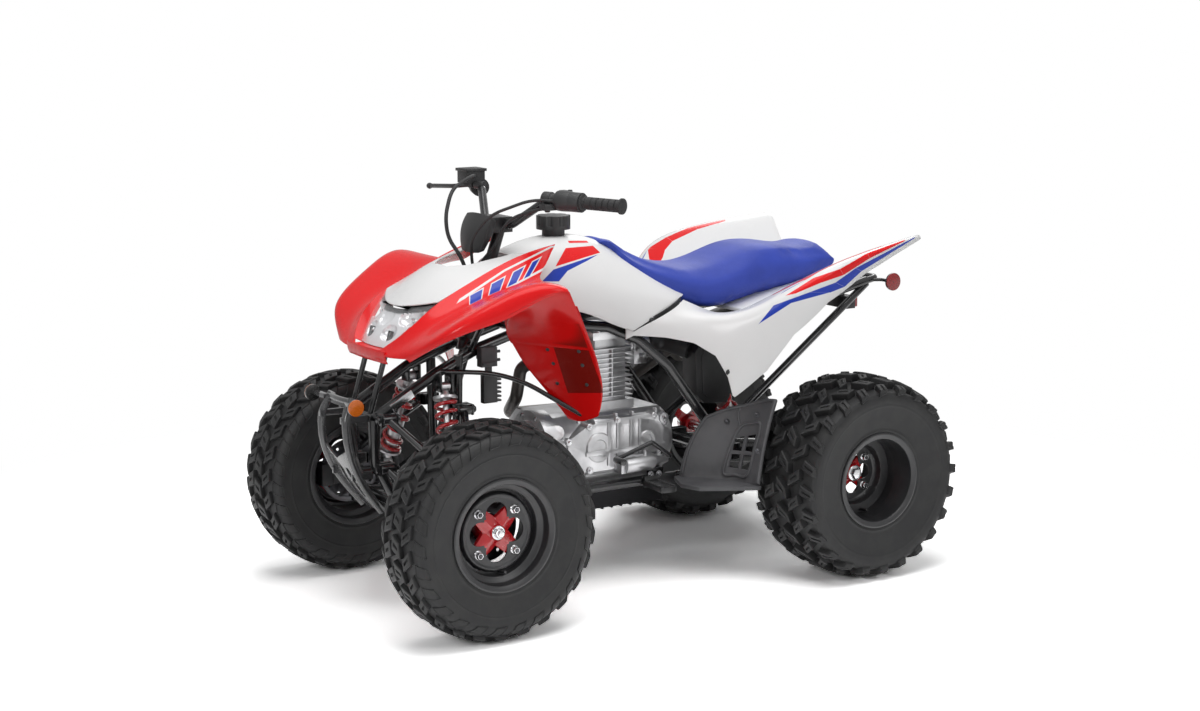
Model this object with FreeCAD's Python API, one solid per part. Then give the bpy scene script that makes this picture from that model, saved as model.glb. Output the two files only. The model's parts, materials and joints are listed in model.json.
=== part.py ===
import FreeCAD, Part
import math
import os
from FreeCAD import Vector

# Sport quad bike, millimetres. It faces -Y, its left side is +X and the floor is z = 0.

# Wheels and stance
WHEELBASE = 1128.0
FRONT_TRACK = 788.0
REAR_TRACK = 808.0
TYRE_RADIUS = 272.0
FRONT_TYRE_WIDTH = 178.0
REAR_TYRE_WIDTH = 248.0
FRONT_BEAD_RADIUS = 127.0
REAR_BEAD_RADIUS = 114.3
FRONT_LUG_HEIGHT = 13.0
REAR_LUG_HEIGHT = 20.0
LUG_COUNT = 18
TYRE_SIDES = 36
LUG_HALF_ANGLE = 4.2
FRONT_AXLE_Y = -594.0
REAR_AXLE_Y = FRONT_AXLE_Y + WHEELBASE
FRONT_WHEEL_X = FRONT_TRACK / 2
REAR_WHEEL_X = REAR_TRACK / 2
AXLE_Z = TYRE_RADIUS

# Rims, hubs and axles
RIM_WALL = 3.5
FRONT_FLANGE_RADIUS = 141.0
FRONT_RIM_HALF = 76.0
FRONT_DISC_X = 28.0
FRONT_BOLT_RADIUS = 72.0
REAR_FLANGE_RADIUS = 128.5
REAR_RIM_HALF = 106.0
REAR_DISC_X = -14.0
REAR_BOLT_RADIUS = 55.0
DISC_WALL = 4.0
STUD_RADIUS = 5.0
NUT_RADIUS = 10.0
NUT_HEIGHT = 13.0
SPINDLE_RADIUS = 12.0
REAR_AXLE_RADIUS = 15.0
RUNNING_GAP = 0.3

# Front suspension and steering
KINGPIN_OFFSET = 65.0
KINGPIN_X = FRONT_WHEEL_X - KINGPIN_OFFSET
UPPER_BALL_Z = AXLE_Z + 66.0
LOWER_BALL_Z = AXLE_Z - 66.0
ARM_TUBE_RADIUS = 10.0
UPPER_PIVOT_X = 102.0
UPPER_PIVOT_Z = 508.0
LOWER_PIVOT_X = 88.0
LOWER_PIVOT_Z = 378.0
PIVOT_FRONT_Y = -716.0
PIVOT_REAR_Y = -500.0
BALL_RADIUS = 11.0
BALL_HALF = 9.0
ARM_SLEEVE_HALF = 18.0
SHOCK_TOP = Vector(91, -550, 572)
SHOCK_FOOT = Vector(178, -580, 334)
SHOCK_RADIUS = 19.0
EYE_HALF = 13.0
SPRING_RADIUS = 30.0
SPRING_WIRE = 5.0
SPRING_TURNS = 6
SPRING_STEPS = 12
STEM_RADIUS = 15.0
STEM_FOOT = Vector(0, -553, 308)
STEM_HEAD = Vector(0, -330, 955)
STEER_ARM = 72.0
TIE_ROD_Z = AXLE_Z + 24.0
TIE_ROD_RADIUS = 5.5
TIE_ROD_INNER_X = 24.0
TIE_ROD_EYE = 17.0
TIE_ROD_EYE_BORE = 11.0
TIE_ROD_PIN = 5.0
TIE_ROD_PIVOT = 6.0
LOWER_BEARING_Z = 354.0
UPPER_BEARING_Z = 655.0

# Controls
BAR_RADIUS = 11.0
BAR_END = Vector(372, -198, 1034)
BAR_BEND = Vector(168, -288, 1038)
BAR_CLAMP_Y = -336.0
BAR_CLAMP_Z = 966.0
GRIP_RADIUS = 16.5
GRIP_LENGTH = 122.0

# Frame and engine
FRAME_TUBE = 14.0
RAIL_TUBE = 12.5
CYLINDER_HALF = 63.0
FIN_COUNT = 11
FIN_PITCH = 13.0
FIN_WALL = 3.0
CASE_HALF = 148.0
SWINGARM_HALF = 115.0
SWING_PIVOT_Y = REAR_AXLE_Y - 212.0
SWING_PIVOT_Z = 300.0
SHOCK_SEAT = Vector(0, SWING_PIVOT_Y + 118, 345)
SHOCK_HEAD = Vector(0, 250, 600)
CYLINDER_Y = -22.0
CASE_FRONT = -236.0
CASE_REAR = SWING_PIVOT_Y - 212.0
CASE_TOP = 452.0
CASE_BOTTOM = 196.0
CYLINDER_BASE = 474.0
INTAKE_Z = 612.0
INTAKE_Y = CYLINDER_Y + CYLINDER_HALF + 21.0
CARBURETTOR_LENGTH = 60.0
INTAKE_RADIUS = 25.0
STARTER_X = CASE_HALF + 12.0
STARTER_Z = 321.0
STARTER_FACE_Y = -52.0
STARTER_RADIUS = 24.0
GUARD_Y = REAR_AXLE_Y - TYRE_RADIUS - 26.0
PEG_Y = GUARD_Y - 224.0
CABLE_RADIUS = 4.0
HOSE_RADIUS = 5.0

# Body panels
PANEL_WALL = 3.5
FLAP_WALL = 3.0
REAR_REACH = 866.0
TAIL_Y = REAR_REACH - 66.0
REFLECTOR_RADIUS = 25.0
REFLECTOR_X = 178.0
CAP_Y = -169.0
CAP_NECK = 30.0
CAP_RADIUS = 45.0
LENS_WALL = 3.0
LAMP_DEPTH = 30.0

X_AXIS = Vector(1, 0, 0)
Y_AXIS = Vector(0, 1, 0)
Z_AXIS = Vector(0, 0, 1)


def fuse(shapes):
    first = shapes[0]
    if len(shapes) == 1:
        return first
    return first.multiFuse(shapes[1:])


def largest(shape):
    return max(shape.Solids, key=lambda solid: solid.Volume)


def mirrored(shape):
    return shape.mirror(Vector(0, 0, 0), X_AXIS)


def both_sides(shape):
    return Part.makeCompound(shape.Solids + mirrored(shape).Solids)


def rod(start, end, radius):
    start, end = Vector(*start), Vector(*end)
    return Part.makeCylinder(radius, (end - start).Length, start, end - start)


def tube(points, radius, bend=None):
    """A round bar along straight runs joined by tangent arcs; with no bend radius each arc is
    as large as its two runs allow."""
    points = [Vector(*p) for p in points]
    edges = []
    current = points[0]
    for before, corner, after in zip(points, points[1:], points[2:]):
        back = (before - corner).normalize()
        ahead = (after - corner).normalize()
        half = back.getAngle(ahead) / 2
        middle = (back + ahead).normalize()
        shorter = min((before - corner).Length, (after - corner).Length)
        arc = bend if bend else 0.45 * shorter * math.tan(half)
        enter = corner + back * (arc / math.tan(half))
        leave = corner + ahead * (arc / math.tan(half))
        crest = corner + middle * (arc / math.sin(half) - arc)
        edges.append(Part.LineSegment(current, enter).toShape())
        edges.append(Part.Arc(enter, crest, leave).toShape())
        current = leave
    edges.append(Part.LineSegment(current, points[-1]).toShape())
    section = Part.Circle(points[0], points[1] - points[0], radius).toShape()
    return Part.Wire(edges).makePipeShell([Part.Wire(section)], True, False)


def box(low, high):
    size = Vector(*high) - Vector(*low)
    return Part.makeBox(size.x, size.y, size.z, Vector(*low))


def polygon_prism(points, direction):
    points = [Vector(*p) for p in points]
    face = Part.Face(Part.makePolygon(points + [points[0]]))
    return face.extrude(Vector(*direction))


def side_prism(outline, low_x, high_x):
    """A prism across the machine from an outline of (y, z) points."""
    return polygon_prism([(low_x, y, z) for y, z in outline], (high_x - low_x, 0, 0))


def turned(profile, centre):
    """A solid of revolution about the X direction from (x, radius) points."""
    points = [Vector(x, 0, r) for x, r in profile]
    face = Part.Face(Part.makePolygon(points + [points[0]]))
    solid = face.revolve(Vector(0, 0, 0), X_AXIS, 360)
    solid.translate(Vector(*centre))
    return solid


def offset_rows(rows, wall):
    last_row = len(rows) - 1
    last_column = len(rows[0]) - 1
    result = []
    for i, row in enumerate(rows):
        shifted = []
        for j, point in enumerate(row):
            along = rows[min(i + 1, last_row)][j] - rows[max(i - 1, 0)][j]
            across = row[min(j + 1, last_column)] - row[max(j - 1, 0)]
            shifted.append(point + along.cross(across).normalize() * wall)
        result.append(shifted)
    return result


def clamped(count, degree):
    """Multiplicities and knots of an evenly knotted spline that ends on its end points."""
    spans = count - degree
    return [degree + 1] + [1] * (spans - 1) + [degree + 1], [float(k) for k in range(spans + 1)]


def moulded_face(rows, along, across):
    """Spline face that has the rows of points as its control net, so it never overshoots them."""
    along_mults, along_knots = clamped(len(rows), along)
    across_mults, across_knots = clamped(len(rows[0]), across)
    surface = Part.BSplineSurface()
    surface.buildFromPolesMultsKnots(rows, along_mults, across_mults, along_knots, across_knots,
                                     False, False, along, across)
    return surface


def panel(rows, wall, along=3, across=2):
    """A moulded panel of even wall: a smooth face on rows of points, and its offset."""
    outer = [[Vector(*p) for p in row] for row in rows]
    inner = offset_rows(outer, wall)
    faces = [moulded_face(outer, along, across), moulded_face(inner, along, across)]
    for k in (0, -1):
        faces.append(moulded_face([outer[k], inner[k]], 1, across))
        faces.append(moulded_face([[row[k] for row in outer], [row[k] for row in inner]], 1, along))
    shell = Part.makeShell([face.toShape() for face in faces])
    shell.sewShape()
    solid = Part.makeSolid(shell.Shells[0])
    if solid.Volume < 0:
        solid.reverse()
    solid.fix(1e-4, 1e-6, 1e-2)
    return solid


def loft(sections):
    """A closed body through closed smooth sections, each a list of points."""
    wires = []
    for section in sections:
        curve = Part.BSplineCurve()
        curve.interpolate(Points=[Vector(*p) for p in section], PeriodicFlag=True)
        wires.append(Part.Wire(curve.toShape()))
    return Part.makeLoft(wires, True, False)


def hexagon(centre, axis, radius, height):
    ring = []
    for k in range(6):
        angle = math.radians(60 * k)
        ring.append(Vector(radius * math.cos(angle), radius * math.sin(angle), 0))
    solid = Part.Face(Part.makePolygon(ring + [ring[0]])).extrude(Vector(0, 0, height))
    solid.Placement = FreeCAD.Placement(Vector(*centre), FreeCAD.Rotation(Z_AXIS, axis))
    return solid


def around(shape, count, centre, axis, first=0.0):
    copies = []
    for k in range(count):
        copy = shape.copy()
        copy.rotate(Vector(*centre), axis, first + 360.0 * k / count)
        copies.append(copy)
    return copies


def ring_point(x, radius, k):
    angle = 2 * math.pi * k / TYRE_SIDES
    return Vector(x, radius * math.sin(angle), radius * math.cos(angle))


def tyre(width, bead_radius, bead_half, lug_height, lug_count):
    """Many-sided carcass with a row of lugs on each shoulder and one on the crown."""
    base = TYRE_RADIUS - lug_height
    half = width / 2
    clear = 1 / math.cos(math.pi / TYRE_SIDES)
    outline = [(bead_half, bead_radius * clear), (bead_half, (bead_radius + 14) * clear),
               (0.92 * half, 0.70 * TYRE_RADIUS), (0.96 * half, 0.82 * TYRE_RADIUS), (0.72 * half, base - 8),
               (0, base)]
    outline += [(-x, r) for x, r in reversed(outline[:-1])]
    faces = []
    for (x1, r1), (x2, r2) in zip(outline, outline[1:] + outline[:1]):
        for k in range(TYRE_SIDES):
            corners = [ring_point(x1, r1, k), ring_point(x2, r2, k), ring_point(x2, r2, k + 1),
                       ring_point(x1, r1, k + 1)]
            faces.append(Part.Face(Part.makePolygon(corners + corners[:1])))
    shell = Part.makeShell(faces)
    shell.sewShape()
    carcass = Part.makeSolid(shell)
    if carcass.Volume < 0:
        carcass.reverse()
    depth = 2 * TYRE_RADIUS * math.tan(math.radians(LUG_HALF_ANGLE))
    shoulder = [(0.42 * half, base - 8), (0.42 * half, TYRE_RADIUS), (0.70 * half, TYRE_RADIUS),
                (0.99 * half, 0.90 * TYRE_RADIUS), (0.90 * half, 0.82 * TYRE_RADIUS)]
    crown = [(-0.20 * half, base - 6), (-0.20 * half, TYRE_RADIUS), (0.20 * half, TYRE_RADIUS),
             (0.20 * half, base - 6)]
    left = polygon_prism([(x, -depth / 2, -r) for x, r in shoulder], (0, depth, 0))
    middle = polygon_prism([(x, -depth / 2, -r) for x, r in crown], (0, depth, 0))
    lugs = []
    half_pitch = 180.0 / lug_count
    for block, first in ((left, 0.0), (mirrored(left), 0.0), (middle, half_pitch)):
        lugs += around(block, lug_count, (0, 0, 0), X_AXIS, first)
    return fuse([carcass] + lugs)


def front_wheel():
    """Rim, hub and brake disc of the left front wheel, centred on its tyre plane."""
    half, bead = FRONT_RIM_HALF, FRONT_BEAD_RADIUS
    inner = bead - RIM_WALL
    well = bead - 17
    barrel = turned([(half, FRONT_FLANGE_RADIUS), (half, inner), (46, inner), (40, well - RIM_WALL),
                     (-40, well - RIM_WALL), (-46, inner), (-half, inner), (-half, FRONT_FLANGE_RADIUS),
                     (4 - half, FRONT_FLANGE_RADIUS), (4 - half, bead), (-48, bead), (-42, well),
                     (42, well), (48, bead), (half - 4, bead), (half - 4, FRONT_FLANGE_RADIUS)], (0, 0, 0))
    face_x = FRONT_DISC_X
    disc = turned([(face_x, 30), (face_x + DISC_WALL, 30), (face_x + DISC_WALL, 88), (face_x - 8, 100),
                   (face_x - 8, well - 2), (face_x - 12, well - 2), (face_x - 12, 98), (face_x, 86)], (0, 0, 0))
    lobe = Part.makeCylinder(30, 40, Vector(face_x - 20, 0, 52), X_AXIS)
    stud_hole = Part.makeCylinder(STUD_RADIUS + RUNNING_GAP, 40, Vector(face_x - 20, 0, FRONT_BOLT_RADIUS), X_AXIS)
    disc = disc.cut(fuse(around(lobe, 4, (0, 0, 0), X_AXIS)))
    disc = disc.cut(fuse(around(stud_hole, 4, (0, 0, 0), X_AXIS, 45.0)))
    rim = barrel.fuse(disc)
    back = face_x - 10
    boss = turned([(-34, SPINDLE_RADIUS + RUNNING_GAP), (back + 14, SPINDLE_RADIUS + RUNNING_GAP),
                   (back + 14, 26), (back, 38), (-22, 38), (-34, 24)], (0, 0, 0))
    arm = box((back, -13, 26), (face_x, 13, FRONT_BOLT_RADIUS + 13))
    stud = Part.makeCylinder(STUD_RADIUS, 30, Vector(face_x - 6, 0, FRONT_BOLT_RADIUS), X_AXIS)
    nut = hexagon((face_x + DISC_WALL, 0, FRONT_BOLT_RADIUS), X_AXIS, NUT_RADIUS, NUT_HEIGHT)
    hub = fuse([boss] + around(arm.fuse(stud).fuse(nut), 4, (0, 0, 0), X_AXIS, 45.0))
    brake = turned([(-26, 38), (-22, 38), (-22, 87), (-26, 87)], (0, 0, 0))
    slot = Part.makeCylinder(4.5, 20, Vector(-34, 0, 70), X_AXIS)
    brake = brake.cut(fuse(around(slot, 12, (0, 0, 0), X_AXIS)))
    return rim, hub, brake


def rear_wheel():
    """Rim and hub of the left rear wheel, centred on its tyre plane."""
    half, bead = REAR_RIM_HALF, REAR_BEAD_RADIUS
    inner = bead - RIM_WALL
    barrel = turned([(half, REAR_FLANGE_RADIUS), (half, inner), (-half, inner), (-half, REAR_FLANGE_RADIUS),
                     (4 - half, REAR_FLANGE_RADIUS), (4 - half, bead), (half - 4, bead),
                     (half - 4, REAR_FLANGE_RADIUS)], (0, 0, 0))
    face_x = REAR_DISC_X
    disc = turned([(face_x, 28), (face_x + DISC_WALL, 28), (face_x + DISC_WALL, 72), (face_x + 22, 84),
                   (face_x + 22, inner + 1), (face_x + 18, inner + 1), (face_x + 18, 82), (face_x, 70)],
                  (0, 0, 0))
    lobe = Part.makeCylinder(21, 40, Vector(face_x - 20, 0, 38), X_AXIS)
    stud_hole = Part.makeCylinder(STUD_RADIUS + RUNNING_GAP, 40, Vector(face_x - 20, 0, REAR_BOLT_RADIUS), X_AXIS)
    disc = disc.cut(fuse(around(lobe, 4, (0, 0, 0), X_AXIS)))
    disc = disc.cut(fuse(around(stud_hole, 4, (0, 0, 0), X_AXIS, 45.0)))
    rim = barrel.fuse(disc)
    boss = turned([(face_x - 34, REAR_AXLE_RADIUS), (face_x + 12, REAR_AXLE_RADIUS), (face_x + 12, 23),
                   (face_x - 10, 30), (face_x - 34, 26)], (0, 0, 0))
    arm = box((face_x - 10, -11, 20), (face_x, 11, REAR_BOLT_RADIUS + 12))
    stud = Part.makeCylinder(STUD_RADIUS, 28, Vector(face_x - 6, 0, REAR_BOLT_RADIUS), X_AXIS)
    nut = hexagon((face_x + DISC_WALL, 0, REAR_BOLT_RADIUS), X_AXIS, NUT_RADIUS, NUT_HEIGHT)
    hub = fuse([boss] + around(arm.fuse(stud).fuse(nut), 4, (0, 0, 0), X_AXIS, 45.0))
    return rim, hub


def knuckle():
    """Left upright with its spindle, ball joints, steering arm and brake caliper."""
    x, y, z = KINGPIN_X, FRONT_AXLE_Y, AXLE_Z
    low, high = LOWER_BALL_Z + BALL_HALF + RUNNING_GAP, UPPER_BALL_Z - BALL_HALF - RUNNING_GAP
    post = fuse([rod((x, y, low), (x, y, high), 9), rod((x, y, low + 12), (x, y, high - 6), 15),
                 rod((x - 4, y, z), (x + 26, y, z), 26)])
    spindle = rod((x + 20, y, z), (FRONT_WHEEL_X + FRONT_DISC_X + 2, y, z), SPINDLE_RADIUS)
    arm_z = TIE_ROD_Z - 10
    arm = box((x - 9, y, arm_z - 8), (x + 9, y + STEER_ARM, arm_z))
    arm_end = Part.makeCylinder(13, 8, Vector(x, y + STEER_ARM, arm_z - 8), Z_AXIS)
    pin = Part.makeCylinder(TIE_ROD_PIN, 26, Vector(x, y + STEER_ARM, arm_z - 2), Z_AXIS)
    cap = Part.makeCylinder(9, 4, Vector(x, y + STEER_ARM, arm_z + 20), Z_AXIS)
    ears = box((x + 6, y - 62, z - 24), (x + 18, y - 12, z + 24))
    body = fuse([post, spindle, arm, arm_end, pin, cap, ears])
    disc_x = FRONT_WHEEL_X - 24
    caliper = box((disc_x - 26, y - 93, z - 30), (disc_x + 20, y - 52, z + 30))
    slot = Part.makeCylinder(92, 12, Vector(disc_x - 6, y, z), X_AXIS)
    caliper = caliper.cut(slot)
    return fuse([body, caliper])


def control_arm(pivot_x, pivot_z, ball_z, drop):
    """Left A-arm: two tubes from the frame pivots to one ball joint housing, and the sleeves."""
    ball = Vector(KINGPIN_X, FRONT_AXLE_Y, ball_z)
    near = ball - Vector(BALL_RADIUS, 0, drop)
    parts = [Part.makeCylinder(BALL_RADIUS + 4, 2 * BALL_HALF, ball - Z_AXIS * BALL_HALF, Z_AXIS)]
    for pivot_y in (PIVOT_FRONT_Y, PIVOT_REAR_Y):
        pivot = Vector(pivot_x, pivot_y, pivot_z)
        parts.append(rod(pivot, near, ARM_TUBE_RADIUS))
        parts.append(rod(pivot - Y_AXIS * ARM_SLEEVE_HALF, pivot + Y_AXIS * ARM_SLEEVE_HALF, ARM_TUBE_RADIUS + 4))
    arm = fuse(parts)
    bolts = [rod((pivot_x, y - 30, pivot_z), (pivot_x, y + 30, pivot_z), 6) for y in (PIVOT_FRONT_Y, PIVOT_REAR_Y)]
    return arm.cut(fuse(bolts))


def shock_seat():
    """Cross tube between the legs of the left lower arm, with two ears for the shock's eye."""
    x, y = SHOCK_FOOT.x, SHOCK_FOOT.y
    parts = [rod((x, -664, 309), (x, -541, 309), 9)]
    for side in (-1, 1):
        inner = y + side * (EYE_HALF + RUNNING_GAP)
        outer = y + side * (EYE_HALF + 6)
        parts.append(box((x - 13, min(inner, outer), 304), (x + 13, max(inner, outer), SHOCK_FOOT.z + 12)))
    pin = rod((x, y - EYE_HALF - 6, SHOCK_FOOT.z), (x, y - EYE_HALF, SHOCK_FOOT.z), 6)
    return fuse(parts + [pin])


def coil_spring(foot, head):
    """Helix of flat-sided wire: six-cornered sections joined by flat faces."""
    axis = head - foot
    length = axis.Length
    steps = SPRING_TURNS * SPRING_STEPS
    rings = []
    for k in range(steps + 1):
        turn = 2 * math.pi * k / SPRING_STEPS
        ring_corners = []
        for c in range(6):
            corner = 2 * math.pi * c / 6
            radius = SPRING_RADIUS - SPRING_WIRE + SPRING_WIRE * math.cos(corner)
            z = length * k / steps + SPRING_WIRE * math.sin(corner)
            ring_corners.append(Vector(radius * math.cos(turn), radius * math.sin(turn), z))
        rings.append(ring_corners)
    corners = [rings[0], rings[-1]]
    for before, after in zip(rings, rings[1:]):
        for c in range(6):
            following = (c + 1) % 6
            corners.append([before[c], before[following], after[following]])
            corners.append([before[c], after[following], after[c]])
    shell = Part.makeShell([Part.Face(Part.makePolygon(points + points[:1])) for points in corners])
    shell.sewShape()
    coil = Part.makeSolid(shell)
    if coil.Volume < 0:
        coil.reverse()
    coil.Placement = FreeCAD.Placement(foot, FreeCAD.Rotation(Z_AXIS, axis))
    return coil


def shock(foot, head, eye_axis):
    """Damper body with its spring plates and end eyes, and the two ends of its spring."""
    axis = (head - foot).normalize()
    length = (head - foot).Length
    parts = [rod(foot, head, 7), rod(foot, foot + axis * 30, 11),
             rod(foot + axis * 30, foot + axis * (0.5 * length), SHOCK_RADIUS),
             rod(foot + axis * 30, foot + axis * 36, SPRING_RADIUS + 1),
             rod(head - axis * 34, head - axis * 26, SPRING_RADIUS + 1),
             rod(foot - eye_axis * EYE_HALF, foot + eye_axis * EYE_HALF, 12),
             rod(head - eye_axis * EYE_HALF, head + eye_axis * EYE_HALF, 12)]
    return fuse(parts), foot + axis * (36 + SPRING_WIRE), head - axis * (34 + SPRING_WIRE)


def ring(centre, axis, outer, bore, height):
    """A collar centred on a point of its axis."""
    start = Vector(*centre) - axis * (height / 2)
    collar = Part.makeCylinder(outer, height, start, axis)
    return collar.cut(Part.makeCylinder(bore, height, start, axis))


def stem_axis():
    return (STEM_HEAD - STEM_FOOT).normalize()


def stem_rake():
    """Degrees by which the steering axis leans back from the vertical."""
    return math.degrees(math.atan2(stem_axis().y, stem_axis().z))


def stem_point(z):
    axis = stem_axis()
    return STEM_FOOT + axis * ((z - STEM_FOOT.z) / axis.z)


def frame():
    """Double cradle: rails, cross tubes, arm brackets, steering bearings and the tail loop."""
    post_x = UPPER_PIVOT_X - 28
    foot_x = LOWER_PIVOT_X - 27
    foot = (138, SWING_PIVOT_Y - 30, 318)
    upper = [(post_x, -742, 505), (post_x, -566, 604), (60, -433, 655), (62, -250, 705), (95, -60, 682),
             (118, 20, 645), (130, 110, 566), (134, SWING_PIVOT_Y - 87, 400), foot]
    lower = [(post_x, -742, 505), (foot_x, -735, 390), (100, -690, 285), (126, -560, 262), (130, -100, 262),
             (132, SWING_PIVOT_Y - 122, 262), foot]
    seat_rail = [(95, -60, 682), (112, 60, 690), (118, 300, 672), (116, 560, 690), (115, TAIL_Y, 742)]
    strut = [(136, SWING_PIVOT_Y - 52, 360), (118, 560, 560), (115, TAIL_Y, 735)]
    side = [tube(upper, FRAME_TUBE, 45), tube(lower, FRAME_TUBE, 45),
            tube(seat_rail, RAIL_TUBE, 60), tube(strut, RAIL_TUBE - 2, 60)]
    for z, x in ((UPPER_PIVOT_Z, UPPER_PIVOT_X), (LOWER_PIVOT_Z, LOWER_PIVOT_X)):
        for y in (PIVOT_FRONT_Y, PIVOT_REAR_Y):
            side.append(box((x - 30, y + 18, z - 14), (x + 11, y + 24, z + 14)))
            side.append(box((x - 30, y - 24, z - 14), (x + 11, y - 18, z + 14)))
            side.append(box((x - 30, y - 24, z - 14), (x - 15, y + 24, z + 14)))
    side.append(rod((post_x, PIVOT_REAR_Y, 645), (foot_x, PIVOT_REAR_Y, 350), RAIL_TUBE))
    side.append(rod((foot_x, PIVOT_REAR_Y, 358), (126, -410, 264), RAIL_TUBE))
    side.append(rod((post_x, -735, 505), (foot_x, -735, 380), RAIL_TUBE))
    for y in (SHOCK_TOP.y - 19, SHOCK_TOP.y + 13):
        side.append(box((post_x - 6, y, SHOCK_TOP.z - 12), (SHOCK_TOP.x + 14, y + 6, 606)))
    for z in (UPPER_PIVOT_Z, LOWER_PIVOT_Z):
        pivot_x = UPPER_PIVOT_X if z == UPPER_PIVOT_Z else LOWER_PIVOT_X
        for y in (PIVOT_FRONT_Y, PIVOT_REAR_Y):
            side.append(rod((pivot_x, y - 24, z), (pivot_x, y + 24, z), 6))
    for y in (-200, 60):
        side.append(box((104, y, 262), (124, y + 40, 290)))
    side.append(box((138, PEG_Y + 18, 252), (147, PEG_Y + 98, 272)))
    side.append(box((SWINGARM_HALF, SWING_PIVOT_Y - 46, 286), (140, SWING_PIVOT_Y + 22, 330)))
    side.append(side_prism([(236, 588), (262, 588), (312, 650), (312, 672), (280, 672), (236, 614)], 13.3, 19.3))
    reflector_y = REAR_REACH - REFLECTOR_RADIUS
    side.append(tube([(112, TAIL_Y + 6, 743), (132, reflector_y, 743), (REFLECTOR_X, reflector_y, 743)], 5, 10))
    side.append(rod((50, -742, 505), (50, -676, 720), 7))
    side.append(rod((62, -460, 645), (232, -462, 850), 8))
    side.append(rod((62, -250, 700), (186, -250, 770), 8))
    side.append(rod((100, 40, 690), (170, 40, 700), 8))
    side.append(rod((116, 560, 690), (116, 560, 760), 9))
    left = fuse(side)
    lower_bearing = stem_point(LOWER_BEARING_Z)
    upper_bearing = stem_point(UPPER_BEARING_Z)
    across = [rod((-post_x, -742, 505), (post_x, -742, 505), RAIL_TUBE),
              rod((-95, -700, 292), (95, -700, 292), RAIL_TUBE),
              rod((-foot_x, PIVOT_REAR_Y, 362), (foot_x, PIVOT_REAR_Y, 362), RAIL_TUBE),
              rod((-62, -300, 693), (62, -300, 693), FRAME_TUBE),
              rod((-60, upper_bearing.y, UPPER_BEARING_Z), (60, upper_bearing.y, UPPER_BEARING_Z), RAIL_TUBE),
              rod((-128, -256, 262), (128, -256, 262), RAIL_TUBE),
              rod((-138, SWING_PIVOT_Y - 34, 312), (138, SWING_PIVOT_Y - 34, 312), FRAME_TUBE),
              rod((-118, 300, 672), (118, 300, 672), RAIL_TUBE),
              rod((-115, TAIL_Y - 10, 740), (115, TAIL_Y - 10, 740), RAIL_TUBE),
              box((-16, lower_bearing.y + 18, 350), (16, PIVOT_REAR_Y, 372)),
              ring(lower_bearing, stem_axis(), STEM_RADIUS + 10, 0.5 * STEM_RADIUS, 26),
              ring(upper_bearing, stem_axis(), STEM_RADIUS + 10, 0.5 * STEM_RADIUS, 34)]
    loop = tube([(115, TAIL_Y - 10, 740), (115, TAIL_Y + 38, 748), (-115, TAIL_Y + 38, 748), (-115, TAIL_Y - 10, 740)],
                RAIL_TUBE - 3, 28)
    whole = fuse([left, mirrored(left), loop] + across)
    shaft = rod(STEM_FOOT - stem_axis() * 40, STEM_HEAD, STEM_RADIUS + RUNNING_GAP)
    sleeves = []
    for x, z in ((UPPER_PIVOT_X, UPPER_PIVOT_Z), (LOWER_PIVOT_X, LOWER_PIVOT_Z)):
        for y in (PIVOT_FRONT_Y, PIVOT_REAR_Y):
            sleeve = ring((x, y, z), Y_AXIS, ARM_TUBE_RADIUS + 4 + RUNNING_GAP, 6, 2 * ARM_SLEEVE_HALF)
            sleeves += [sleeve, mirrored(sleeve)]
    return whole.cut(fuse([shaft] + sleeves))


def front_bumper(tubes):
    """Moulded grille guard: a plate with one large opening above a ribbed skid."""
    rows = []
    for y, z, half in ((-800, 560, 66), (-830, 520, 80), (-822, 440, 86), (-808, 390, 84),
                       (-770, 320, 76), (-720, 262, 60)):
        rows.append([(half * t, y + 10 * t * t, z) for t in (-1, -0.6, -0.2, 0.2, 0.6, 1)])
    plate = panel(rows, -6)
    opening = polygon_prism([(-44, -900, 540), (44, -900, 540), (62, -900, 430), (0, -900, 402),
                             (-62, -900, 430)], (0, 200, 0))
    slots = [polygon_prism([(x - 6, -900, 380), (x + 6, -900, 380), (x + 4, -900, 300), (x - 4, -900, 300)],
                           (0, 200, 0)) for x in (-32, 0, 32)]
    plate = plate.cut(fuse([opening] + slots))
    stays = [box((x - 5, -826, 500), (x + 5, -752, 516)) for x in (-60, 60)]
    stays += [box((x - 5, -796, 350), (x + 5, -738, 366)) for x in (-54, 54)]
    stays += [box((s * 89 - 29, -814, 545), (s * 89 + 29, -800, 555)) for s in (-1, 1)]
    return largest(fuse([plate] + stays).cut(tubes))


def hood(fender):
    spread = (-1, -0.55, 0, 0.55, 1)
    stations = ((-651, 777, 60, 21), (-600, 822, 55, -4), (-540, 864, 50, -21), (-480, 884, 40, -18),
                (-410, 892, 30, -4), (-350, 896, 18, 6))
    rows = []
    for y, z, sweep, rise in stations:
        rows.append([(138 * t, y + sweep * t * t, z + rise * t * t) for t in spread])
    cover = panel(rows, PANEL_WALL)
    opening = polygon_prism([(-34, -508, 800), (34, -508, 800), (74, -468, 800), (96, -372, 800),
                             (96, -300, 800), (-96, -300, 800), (-96, -372, 800), (-74, -468, 800)],
                            (0, 0, 200))
    tabs = [box((s * 141 - 12, y, z - 24), (s * 141 + 12, y + 24, z)) for s in (-1, 1)
            for y, z in ((-560, 822), (-430, 872))]
    return largest(fuse([cover.cut(opening)] + tabs).cut(fender))


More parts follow.
